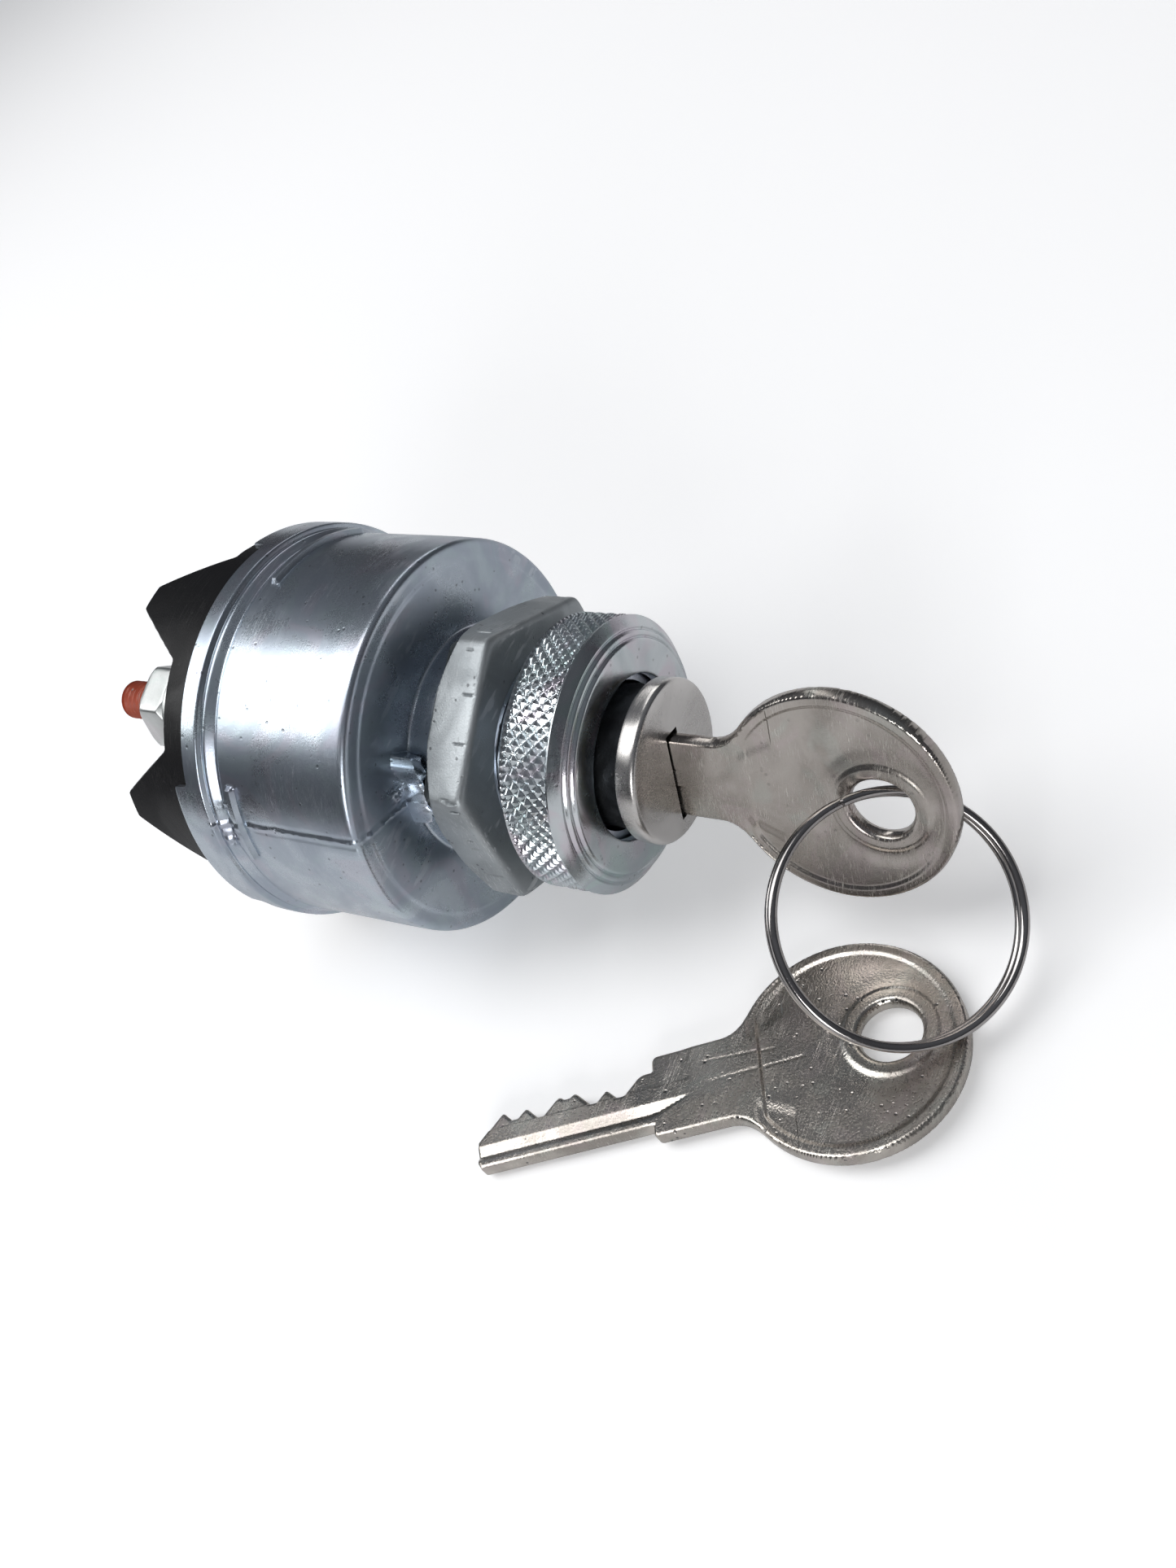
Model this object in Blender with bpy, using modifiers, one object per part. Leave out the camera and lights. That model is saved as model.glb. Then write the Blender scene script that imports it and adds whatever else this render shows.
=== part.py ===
"""Panel-mounted ignition selector switch with two keys on a split ring.

The lock axis is modelled along local +Z, key side up, and the root empty lays it down so that
the key points along world -Y. Local height 0 is the face of the jam nut that seats on the panel.
"""
import math

import bmesh
import bpy
from mathutils import Matrix, Vector

mm = 0.001
gap = 0.3 * mm          # clearance between pieces that touch
loose = 0.6 * mm        # clearance of a sliding key in its slot
leadIn = 0.1 * mm       # how much wider a slot opens where it meets a narrower one
bite = 0.5 * mm         # how far a joined block sinks into its neighbour, or a cutter stands out
roundSteps = 48         # facets round a large turned piece
smallSteps = 16         # facets round a small turned piece

# Housing: threaded neck, collar, can and rim, all measured from the panel face
neckRadius = 11.1 * mm
neckWall = 2.4 * mm
neckBore = neckRadius - neckWall
neckTop = 9.9 * mm
collarRadius = neckRadius + 2.6 * mm
canRadius = 24.4 * mm
canDraft = 0.2 * mm     # the can is this much smaller at its shoulder
shoulderRound = 2.2 * mm
canWall = 2.0 * mm
frontWall = 2.7 * mm
canDepth = 21.5 * mm    # front face of the can to the rim
rimRadius = canRadius + 1.3 * mm
rimWidth = 2.3 * mm
rimWall = 0.8 * mm
rimSlope = 3.4 * mm
tabLength = 2.2 * mm
tabSpan = 46            # degrees
tabAngles = (168, 288, 48)
ribAngles = ((46, 85), (144, 168))
ribWidth = 0.9 * mm
ribHeight = 0.6 * mm
ribBack = 2.9 * mm      # rib centre, ahead of the foot of the rim's slope
lugRadius = collarRadius + 2.9 * mm
lugHeight = 2.7 * mm
lugAngles = (133, 168)

# Nuts on the neck
hexAcross = 2 * neckRadius + 9.55 * mm
hexThick = 6.0 * mm
hexChamfer = 2.0 * mm    # turned off the corners on the side of the can
hexCornerAngle = 27
collarLength = 4.3 * mm
bezelRadius = neckRadius + 4.9 * mm
bezelBack = 3.76 * mm
bezelKnurl = 6.24 * mm
bezelStep = 1.8 * mm
bezelStepRadius = bezelRadius - 2.1 * mm
bezelLip = 1.5 * mm

# Lock
shellRadius = neckBore - 0.4 * mm
plugRadius = shellRadius - 1.4 * mm
shellTop = 13.9 * mm
lockBottom = -12.6 * mm
plugHeadRadius = shellRadius + 0.1 * mm
plugHeadHeight = 1.4 * mm
capWall = 0.7 * mm
capRadius = plugHeadRadius + gap + capWall
capRound = 1.1 * mm
bezelHole = capRadius + gap / 2
waferCount = 5
waferPitch = 3.4 * mm
waferThick = 0.9 * mm
waferTop = 9.6 * mm     # height of the first wafer
waferHalf = plugRadius - 2.9 * mm
waferEar = plugRadius - 1.3 * mm    # how far an ear reaches from the lock axis
earLow = 2.2 * mm
earHigh = 3.4 * mm
waferTravel = 0.6 * mm
waferSpringRadius = 0.45 * mm
waferSpringWire = 0.12 * mm
waferSpringFloor = -2.2 * mm
tangWidth = plugRadius
tangThick = 2.4 * mm
tangLength = 6.5 * mm
clipThick = 0.8 * mm
clipRadius = shellRadius - 0.2 * mm
clipGroove = 0.9 * mm
plugTail = 1.0 * mm     # plug beyond the clip groove

# Key: seen flat, +X towards the tip and +Y towards the cuts, from the centre of its bow
keyThick = 2.0 * mm
bowRadius = 12.75 * mm
holeRadius = 3.4 * mm
holeX = -4.7 * mm
holeY = 0.4 * mm
neckLow = -5.3 * mm
neckHigh = 4.9 * mm
neckFillet = 2.5 * mm
shoulderX = 22.5 * mm
bladeLow = -3.9 * mm
bladeHigh = 3.0 * mm
tipX = 44.8 * mm
tipSlope = 3.0 * mm
cutDepths = (2.1 * mm, 2.0 * mm, 0.5 * mm, 1.9 * mm, 1.4 * mm)
cutFirst = 26.5 * mm
cutFloor = 0.8 * mm
keyAngle = 21.1         # degrees the key's plane leans from upright about the lock axis
keyOffset = 1.8 * mm    # bow centre below the lock axis, in the key's plane
bowHeight = 35.46 * mm  # bow centre in front of the panel face

# Split ring and spare key, in the row frame
ringRadius = 12.85 * mm
ringWire = 0.5 * mm
ringPitch = 1.2 * mm
ringTurns = 2
ringCentre = Vector((-10.46, -43.27, -7.53)) * mm
ringNormal = Vector((-0.288, -0.564, 0.774)).normalized()
ringStart = Vector((0.600, 0.523, 0.605))    # towards the outer wire's free end
spareBow = Vector((-21.0, -38.75, -18.86)) * mm
spareTip = Vector((-0.460, 0.8845, -0.0775)).normalized()
spareFace = Vector((0.0665, 0.1213, 0.9904)).normalized()

# Terminals, gasket and base
gasketThick = 0.6 * mm
baseDepth = 6.2 * mm    # base disc, front to floor of the bays
ridgeHeight = 8.4 * mm
ridgeLand = 1.7 * mm    # half width of a ridge's top
ridgeFoot = 8.0 * mm    # half width of a ridge at the floor
bayCentre = 124         # angle of the battery terminal
bayHalf = 31.5          # half the angle between the two ridges beside it
terminalCount = 5
studCircle = canRadius - 7.4 * mm
studRadius = 2.45 * mm
studEnd = 7.6 * mm      # stud beyond its nut
headRadius = studRadius + 1.75 * mm
headThick = 2.2 * mm
nutAcross = 2 * studRadius + 5.0 * mm
nutThick = 4.3 * mm
washerRadius = studRadius + 3.15 * mm
washerThick = 0.9 * mm
seatRadius = washerRadius - 0.2 * mm
seatHeight = 1.6 * mm
bayRadius = seatRadius + 1.5 * mm
centreWell = studCircle / 2
moat = 0.3 * mm         # how far the bays and the well go below the floor

# Rotor, contacts and detent, inside the can and above the stud heads
detentInner = canRadius - 6.8 * mm
hubRadius = tangWidth / 2 + 1.7 * mm
rotorRadius = detentInner - 4.6 * mm
rotorThick = 5.0 * mm
contactThick = 1.0 * mm
contactRoom = 3.0 * mm   # between the contact plate and the rotor
contactRadius = canRadius - 4.2 * mm
contactHub = 7.6 * mm
contactArm = 3.6 * mm
contactSpringRadius = 6.0 * mm
contactSpringWire = 0.3 * mm
returnSpringRadius = hubRadius + 3.0 * mm
returnSpringWire = 0.55 * mm
returnSpringTurns = 2.5
returnSpringLength = 5.0 * mm
detentThick = 4.0 * mm
detentNotch = 2.2 * mm
detentAngles = (-40, 0, 40, 75)    # accessory, off, run and start, turned clockwise
ballRadius = 1.6 * mm
ballCircle = detentInner - 1.9 * mm
pocketDepth = 6.5 * mm   # from the rotor's edge
ballAngle = 300

# Heights that follow from the sizes above
collarTop = -hexThick - gap
canFront = collarTop - collarLength
canInside = canFront - frontWall
rimTop = canFront - canDepth
rimBottom = rimTop - rimWidth
baseTop = rimTop + 0.5 * mm
baseFloor = baseTop - gap - gasketThick - gap - baseDepth
ridgeTop = baseFloor - ridgeHeight
washerTop = baseFloor - seatHeight - gap
nutTop = washerTop - washerThick - gap
nutBottom = nutTop - nutThick
studBottom = nutBottom - studEnd
headTop = baseTop - gap + headThick
contactBottom = headTop + gap
rotorBottom = contactBottom + contactThick + contactRoom
rotorTop = rotorBottom + rotorThick
bezelFront = bezelBack + bezelKnurl
capTop = shellTop + gap + plugHeadHeight + gap + capWall
baseRadius = rimRadius - rimWall - gap
bladeHalf = keyThick / 2
axisTop = Vector((math.sin(math.radians(keyAngle)), math.cos(math.radians(keyAngle)), 0))

metalZinc = ("zinc plated die casting", (0.60, 0.64, 0.68), 0.95, 0.32)
metalNut = ("cast zinc nut", (0.46, 0.48, 0.50), 0.70, 0.50)
metalBezel = ("bright zinc plate", (0.66, 0.69, 0.70), 0.95, 0.25)
metalCap = ("satin stainless", (0.62, 0.60, 0.58), 1.0, 0.22)
metalKey = ("nickel plate", (0.55, 0.51, 0.47), 1.0, 0.25)
metalSteel = ("spring steel", (0.45, 0.44, 0.43), 1.0, 0.25)
metalBrass = ("brass", (0.72, 0.56, 0.30), 1.0, 0.30)
metalStud = ("zinc plated steel", (0.58, 0.60, 0.58), 0.95, 0.32)
plasticBase = ("black phenolic", (0.012, 0.012, 0.013), 0.0, 0.45)
plasticRotor = ("brown phenolic", (0.12, 0.06, 0.03), 0.0, 0.5)
fibre = ("grey fibre", (0.20, 0.20, 0.20), 0.0, 0.85)


def clearScene():
    for item in list(bpy.data.objects):
        bpy.data.objects.remove(item, do_unlink=True)


def makeCollection(name, hidden):
    made = bpy.data.collections.new(name)
    bpy.context.scene.collection.children.link(made)
    made.hide_render = hidden
    return made


def makeMaterial(look):
    name, colour, metallic, roughness = look
    found = bpy.data.materials.get(name)
    if found:
        return found
    made = bpy.data.materials.new(name)
    made.use_nodes = True
    made.diffuse_color = (*colour, 1)
    shader = made.node_tree.nodes["Principled BSDF"]
    shader.inputs["Base Color"].default_value = (*colour, 1)
    shader.inputs["Metallic"].default_value = metallic
    shader.inputs["Roughness"].default_value = roughness
    return made


def makeEmpty(name, parent=None, place=None):
    made = bpy.data.objects.new(name, None)
    made.empty_display_size = 0.01
    bpy.context.scene.collection.objects.link(made)
    made.parent = parent
    made.matrix_local = place or Matrix.Identity(4)
    return made


def addObject(name, data, look, parent):
    """A new object in the switch's collection, or a hidden cutter if it has no look."""
    made = bpy.data.objects.new(name, data)
    (switchParts if look else cutters).objects.link(made)
    if look:
        data.materials.append(makeMaterial(look))
    else:
        made.display_type = "WIRE"
        made.hide_render = True
    made.parent = parent
    return made


def meshFrom(name, build):
    data = bpy.data.meshes.new(name)
    shape = bmesh.new()
    build(shape)
    bmesh.ops.recalc_face_normals(shape, faces=shape.faces)
    shape.to_mesh(data)
    shape.free()
    return data


def turned(name, profile, look, parent, steps=roundSteps, closed=True):
    """A profile of (radius, height) points, outer side first and running down, swept round Z."""
    data = bpy.data.meshes.new(name)
    points = [(radius, 0, height) for radius, height in profile]
    edges = [(i, i + 1) for i in range(len(points) - 1)]
    if closed:
        edges.append((len(points) - 1, 0))
    data.from_pydata(points, edges, [])
    made = addObject(name, data, look, parent)
    sweep = made.modifiers.new("Turn", "SCREW")
    sweep.axis = "Z"
    sweep.steps = steps
    sweep.render_steps = steps
    sweep.use_merge_vertices = True
    sweep.merge_threshold = 0.00001
    sweep.use_smooth_shade = False
    return made


def ringShape(name, inner, outer, low, high, look, parent, steps=roundSteps):
    profile = [(outer, high), (outer, low), (inner, low), (inner, high)]
    return turned(name, profile, look, parent, steps)


def rod(name, radius, low, high, look, parent, spot=(0, 0), steps=smallSteps, turn=0.0):
    """A solid cylinder or prism with its axis along Z."""
    middle = Vector((spot[0], spot[1], (low + high) / 2))
    place = Matrix.Translation(middle) @ Matrix.Rotation(math.radians(turn), 4, "Z")

    def build(shape):
        bmesh.ops.create_cone(
            shape, cap_ends=True, segments=steps, radius1=radius, radius2=radius,
            depth=high - low, matrix=place)

    return addObject(name, meshFrom(name, build), look, parent)


def block(name, size, place, look, parent):
    def build(shape):
        bmesh.ops.create_cube(shape, size=1, matrix=place @ Matrix.Diagonal((*size, 1)))

    return addObject(name, meshFrom(name, build), look, parent)


def flatCurve(name, outline, thick, holes=()):
    """A flat 2D curve with its caps, half its thickness to each side of its plane."""
    curve = bpy.data.curves.new(name, "CURVE")
    curve.dimensions = "2D"
    curve.fill_mode = "BOTH"
    curve.extrude = thick / 2
    for points in (outline, *holes):
        spline = curve.splines.new("POLY")
        spline.points.add(len(points) - 1)
        for point, (x, y) in zip(spline.points, points):
            point.co = (x, y, 0, 1)
        spline.use_cyclic_u = True
    return curve


def flatMesh(name, outline, thick, holes=()):
    """The same flat shape as a mesh with its caps welded, so that it can take a Boolean."""
    helper = bpy.data.objects.new(name + "_outline", flatCurve(name, outline, thick, holes))
    bpy.context.scene.collection.objects.link(helper)
    data = bpy.data.meshes.new_from_object(helper)
    bpy.data.objects.remove(helper, do_unlink=True)
    shape = bmesh.new()
    shape.from_mesh(data)
    bmesh.ops.remove_doubles(shape, verts=shape.verts, dist=0.000001)
    bmesh.ops.recalc_face_normals(shape, faces=shape.faces)
    shape.to_mesh(data)
    shape.free()
    return data


def arc(radius, start, stop, count, centre=(0, 0)):
    """Points on an arc, angles in degrees."""
    angles = [math.radians(start + (stop - start) * i / count) for i in range(count + 1)]
    return [(centre[0] + radius * math.cos(a), centre[1] + radius * math.sin(a)) for a in angles]


def sector(name, inner, outer, angles, low, high, look, parent):
    """Part of a ring, between two angles and two heights."""
    start, stop = angles
    count = max(3, round((stop - start) / 6))
    outline = arc(outer, start, stop, count) + arc(inner, stop, start, count)
    made = addObject(name, flatMesh(name, outline, high - low), look, parent)
    made.location.z = (low + high) / 2
    return made


def combine(target, other, how):
    change = target.modifiers.new(how.title() + "_" + other.name, "BOOLEAN")
    change.operation = how
    change.solver = "EXACT"
    change.object = other


def coil(name, radius, wire, low, high, turns, look, parent, perTurn=16, fineness=2):
    """A helical spring with its wire ends inside the heights low and high."""
    curve = bpy.data.curves.new(name, "CURVE")
    curve.dimensions = "3D"
    curve.bevel_depth = wire
    curve.bevel_resolution = fineness
    curve.use_fill_caps = True
    spline = curve.splines.new("POLY")
    count = round(turns * perTurn)
    spline.points.add(count)
    for i, point in enumerate(spline.points):
        angle = 2 * math.pi * i / perTurn
        height = low + wire + (high - low - 2 * wire) * i / count
        point.co = (radius * math.cos(angle), radius * math.sin(angle), height, 1)
    return addObject(name, curve, look, parent)


def polar(radius, angle):
    return Vector((radius * math.cos(math.radians(angle)), radius * math.sin(math.radians(angle)), 0))


def housing(root):
    """Die-cast can with its threaded neck, collar, lug, ribs, rim and crimp tabs."""
    shoulder = canRadius - canDraft
    rounded = arc(shoulderRound, 90, 0, 4, (shoulder - shoulderRound, canFront - shoulderRound))
    inside = shoulder - canWall
    profile = [(neckRadius - 0.4 * mm, neckTop), (neckRadius, neckTop - 0.4 * mm)]
    profile += [(neckRadius, collarTop), (collarRadius, collarTop)]
    profile += [(collarRadius, canFront + 0.4 * mm), (collarRadius + 0.4 * mm, canFront)]
    profile += rounded
    profile += [(canRadius, rimTop + rimSlope), (rimRadius - rimWall, rimTop), (rimRadius, rimTop)]
    profile += [(rimRadius, rimBottom - tabLength), (rimRadius - rimWall, rimBottom - tabLength)]
    profile += [(rimRadius - rimWall, baseTop), (inside, baseTop)]
    profile += [(inside, canInside), (neckBore, canInside), (neckBore, neckTop)]
    made = turned("housing", profile, metalZinc, root)
    for number, angle in enumerate(tabAngles):
        start = angle + tabSpan / 2
        stop = angle + 120 - tabSpan / 2
        cutter = sector(
            f"tab_cutter_{number}", rimRadius - rimWall - bite, rimRadius + bite, (start, stop),
            rimBottom - tabLength - bite, rimBottom, None, root)
        combine(made, cutter, "DIFFERENCE")
    ribMiddle = rimTop + rimSlope + ribBack - rimSlope / 2
    for number, angles in enumerate(ribAngles):
        rib = sector(
            f"rib_block_{number}", canRadius - canWall / 2, canRadius + ribHeight, angles,
            ribMiddle - ribWidth / 2, ribMiddle + ribWidth / 2, None, root)
        combine(made, rib, "UNION")
    lug = sector(
        "lug_block", collarRadius - bite, lugRadius, lugAngles,
        canFront - bite, canFront + lugHeight, None, root)
    combine(made, lug, "UNION")
    return made


def hexNut(root):
    corner = hexAcross / math.sqrt(3)
    made = rod("hex_jam_nut", corner, -hexThick, 0, metalNut, root, steps=6, turn=hexCornerAngle)
    bevel = made.modifiers.new("Bevel", "BEVEL")
    bevel.width = 0.5 * mm
    bevel.segments = 1
    slope = (corner - hexAcross / 2) / hexChamfer
    back = -hexThick - bite
    wide = hexAcross / 2 + slope * (hexChamfer + bite)
    profile = [(0, bite), (wide, bite), (wide, hexChamfer - hexThick + bite)]
    profile += [(hexAcross / 2 - slope * bite, back), (0, back)]
    cone = turned("hex_cone", profile, None, root, closed=False)
    combine(made, cone, "INTERSECT")
    bore = rod("hex_bore", neckRadius + gap, -hexThick - bite, bite, None, root, steps=roundSteps)
    combine(made, bore, "DIFFERENCE")
    return made


def bezelNut(root):
    """Knurled nut: the knurl itself is cut in the finished look."""
    chamfer = 0.7 * mm
    faceTop = bezelFront + bezelStep
    profile = [(bezelStepRadius - 0.5 * mm, faceTop), (bezelStepRadius, faceTop - 0.5 * mm)]
    profile += [(bezelStepRadius + 0.6 * mm, bezelFront + chamfer), (bezelRadius, bezelFront)]
    profile += [(bezelRadius, bezelBack + 0.3 * mm), (bezelRadius - 0.3 * mm, bezelBack)]
    profile += [(neckRadius + gap, bezelBack), (neckRadius + gap, faceTop - bezelLip)]
    profile += [(bezelHole, faceTop - bezelLip), (bezelHole, faceTop)]
    return turned("bezel_nut", profile, metalBezel, root)


def lockShell(root):
    """Fixed tube round the plug, relieved where the wafers reach out."""
    inner = plugRadius + gap
    relief = inner + waferTravel
    top = waferTop + waferThick
    bottom = waferTop - (waferCount - 1) * waferPitch - waferThick
    profile = [(shellRadius, shellTop), (shellRadius, lockBottom), (inner, lockBottom)]
    profile += [(inner, bottom), (relief, bottom), (relief, top), (inner, top), (inner, shellTop)]
    return turned("lock_shell", profile, metalZinc, root, steps=36)


def inKeyPlane(across, along, height):
    """A place given across the key's thickness, along its width and by height."""
    side = Vector((axisTop.y, -axisTop.x, 0))
    return Matrix.Translation(side * across + axisTop * along + Vector((0, 0, height)))


def keyPlaneTurn():
    return Matrix.Rotation(-math.radians(keyAngle), 4, "Z")


def keyPlaneBlock(name, across, along, heights, look, parent):
    """A block whose sides run across and along the key's plane: each value is (low, high)."""
    size = [high - low for low, high in (across, along, heights)]
    middle = [(low + high) / 2 for low, high in (across, along, heights)]
    return block(name, size, inKeyPlane(*middle) @ keyPlaneTurn(), look, parent)


def bladeSpan(low, high, room):
    """Along the key's plane, the room that the key takes between two of its own widths."""
    return (-keyOffset - high - room, -keyOffset - low + room)


def lockPlug(turning):
    """Turning plug with its head, keyway, wafer slots, clip groove and drive tang."""
    headBottom = shellTop + gap
    headTop = headBottom + plugHeadHeight
    grooveTop = lockBottom - gap
    grooveBottom = grooveTop - clipThick - 2 * gap
    neck = plugRadius - clipGroove
    profile = [(0, headTop), (plugHeadRadius, headTop), (plugHeadRadius, headBottom)]
    profile += [(plugRadius, headBottom), (plugRadius, grooveTop), (neck, grooveTop)]
    profile += [(neck, grooveBottom), (plugRadius, grooveBottom)]
    profile += [(plugRadius, grooveBottom - plugTail), (0, grooveBottom - plugTail)]
    made = turned("lock_plug", profile, metalBrass, turning, steps=32, closed=False)
    half = bladeHalf + loose / 2
    tip = bowHeight - tipX - loose
    keyway = keyPlaneBlock(
        "keyway_cutter", (-half, half), bladeSpan(bladeLow, bladeHigh, loose / 2),
        (tip, headTop + bite), None, turning)
    combine(made, keyway, "DIFFERENCE")
    mouth = keyPlaneBlock(
        "neck_cutter", (-half - leadIn, half + leadIn), bladeSpan(neckLow, neckHigh, loose / 2),
        (bowHeight - shoulderX - loose, headTop + bite), None, turning)
    combine(made, mouth, "DIFFERENCE")
    for number in range(waferCount):
        height = waferTop - number * waferPitch
        half = waferThick / 2 + gap / 2
        room = (height - half, height + half)
        earRoom = (height - half - leadIn, height + half + leadIn)
        side = (-waferHalf - gap, waferHalf + gap)
        slot = keyPlaneBlock(
            f"wafer_slot_{number}", side, (-plugRadius - bite, plugRadius + bite), room, None, turning)
        combine(made, slot, "DIFFERENCE")
        pocket = keyPlaneBlock(
            f"ear_slot_{number}", (waferHalf, waferEar + gap),
            (waferSpringFloor, earHigh + waferTravel + gap), earRoom, None, turning)
        combine(made, pocket, "DIFFERENCE")
    tang = keyPlaneBlock(
        "tang_block", (-tangThick / 2, tangThick / 2), (-tangWidth / 2, tangWidth / 2),
        (grooveBottom - plugTail - tangLength, grooveBottom - bite), None, turning)
    combine(made, tang, "UNION")
    return made


def faceCap(turning):
    """Stainless cup over the plug's head, slotted for the key."""
    headBottom = shellTop + gap
    inner = plugHeadRadius + gap
    rounded = arc(capRound, 90, 0, 3, (capRadius - capRound, capTop - capRound))
    profile = [(0, capTop)] + rounded + [(capRadius, headBottom), (inner, headBottom)]
    profile += [(inner, capTop - capWall), (0, capTop - capWall)]
    made = turned("face_cap", profile, metalCap, turning, steps=36, closed=False)
    half = bladeHalf + loose / 2
    slot = keyPlaneBlock(
        "cap_slot_cutter", (-half, half), bladeSpan(neckLow, neckHigh, loose / 2),
        (capTop - capWall - bite, capTop + bite), None, turning)
    combine(made, slot, "DIFFERENCE")
    return made


def plugClip(turning):
    """Retaining ring in the plug's groove, behind the shell."""
    neck = plugRadius - clipGroove + gap
    top = lockBottom - 2 * gap
    made = ringShape("plug_clip", neck, clipRadius, top - clipThick, top, metalSteel, turning, 32)
    mouth = block(
        "clip_mouth", (4 * mm, clipRadius, 3 * clipThick),
        Matrix.Translation((0, clipRadius, top - clipThick / 2)), None, turning)
    combine(made, mouth, "DIFFERENCE")
    return made


def wafer(number, carrier, turning):
    """One wafer with its window and spring ear, and the small spring under the ear."""
    height = waferTop - number * waferPitch
    reach = plugRadius - gap / 2
    made = rod(
        f"wafer_{number + 1}", reach, height - waferThick / 2, height + waferThick / 2,
        metalBrass, carrier, steps=28)
    side = keyPlaneBlock(
        f"wafer_side_{number}", (-waferHalf, waferHalf), (-plugRadius, plugRadius),
        (height - waferThick, height + waferThick), None, carrier)
    ear = keyPlaneBlock(
        f"wafer_ear_{number}", (0, waferEar), (earLow, earHigh),
        (height - waferThick, height + waferThick), None, carrier)
    combine(side, ear, "UNION")
    combine(made, side, "INTERSECT")
    low, high = bladeSpan(bladeLow, bladeHigh, gap)
    half = bladeHalf + gap
    window = keyPlaneBlock(
        f"wafer_window_{number}", (-half, half), (low - waferTravel, high),
        (height - waferThick, height + waferThick), None, carrier)
    combine(made, window, "DIFFERENCE")
    middle = (waferHalf + gap + waferEar) / 2
    upright = Matrix.Rotation(-math.pi / 2, 4, "X")
    place = inKeyPlane(middle, 0, height) @ keyPlaneTurn() @ upright
    spring = coil(
        f"wafer_spring_{number + 1}", waferSpringRadius - waferSpringWire, waferSpringWire,
        waferSpringFloor + gap / 2, earLow - gap / 2, 4, metalSteel, turning, 8, 1)
    spring.matrix_local = place
    return made


def keyOutline():
    """Outline of a key from the neck's lower corner, round the bow, along the cuts to the tip."""
    def neckStart(level):
        return math.sqrt((bowRadius + neckFillet) ** 2 - (abs(level) + neckFillet) ** 2)

    highX = neckStart(neckHigh)
    lowX = neckStart(neckLow)
    highTurn = math.degrees(math.atan2(neckHigh + neckFillet, highX))
    lowTurn = math.degrees(math.atan2(neckLow - neckFillet, lowX))
    points = arc(bowRadius, highTurn, 360 + lowTurn, 44)
    points += arc(neckFillet, 180 + lowTurn, 90, 4, (lowX, neckLow - neckFillet))[1:]
    points += [(shoulderX - 1.0 * mm, neckLow), (shoulderX, bladeLow)]
    points += [(tipX - 1.0 * mm, bladeLow), (tipX, bladeLow + 1.4 * mm)]
    points += [(tipX, bladeHigh - tipSlope - 1.0 * mm), (tipX - tipSlope, bladeHigh - 1.0 * mm)]
    for number in reversed(range(len(cutDepths))):
        middle = cutFirst + number * waferPitch
        depth = cutDepths[number]
        half = min(cutFloor / 2 + depth, waferPitch / 2 - 0.05 * mm)
        rise = half - cutFloor / 2
        points += [(middle + half, bladeHigh - depth + rise), (middle + cutFloor / 2, bladeHigh - depth)]
        points += [(middle - cutFloor / 2, bladeHigh - depth), (middle - half, bladeHigh - depth + rise)]
    points += [(shoulderX, bladeHigh), (shoulderX, neckHigh)]
    points += arc(neckFillet, 270, 180 + highTurn, 4, (highX, neckHigh + neckFillet))[:-1]
    return points


def makeKey(name, parent, place):
    """A flat key with its ring hole. Its place is that of the bow's centre."""
    hole = arc(holeRadius, 0, 345, 23, (holeX, holeY))
    made = addObject(name, flatCurve(name, keyOutline(), keyThick, [hole]), metalKey, parent)
    made.matrix_local = place
    return made


def frameFrom(xAxis, yAxis, centre):
    """A placing matrix from two of its axes, at right angles, and its centre."""
    zAxis = xAxis.cross(yAxis)
    turn = Matrix((xAxis, yAxis, zAxis)).transposed()
    return Matrix.Translation(centre) @ turn.to_4x4()


def splitRing(parent):
    """Two turns of hardened wire."""
    half = ringPitch * ringTurns / 2 + ringWire
    made = coil(
        "split_ring", ringRadius, ringWire, -half, half, ringTurns, metalSteel, parent,
        perTurn=36)
    sideways = ringNormal.cross(ringStart).normalized()
    made.matrix_local = frameFrom(sideways.cross(ringNormal), sideways, ringCentre)
    return made


def terminalAngles():
    """Bay centres: the battery bay is narrower and the other bays share the rest."""
    other = (360 - 2 * bayHalf) / (terminalCount - 1)
    first = bayCentre + bayHalf + other / 2
    return [bayCentre] + [first + other * i for i in range(terminalCount - 1)]


def ridgeAngles():
    other = (360 - 2 * bayHalf) / (terminalCount - 1)
    return [bayCentre + bayHalf + other * i for i in range(terminalCount)]


def gasket(root):
    outer = baseRadius
    inner = canRadius - canWall - canDraft - 1.5 * mm
    top = baseTop - gap
    return ringShape("base_gasket", inner, outer, top - gasketThick, top, fibre, root, 40)


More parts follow.
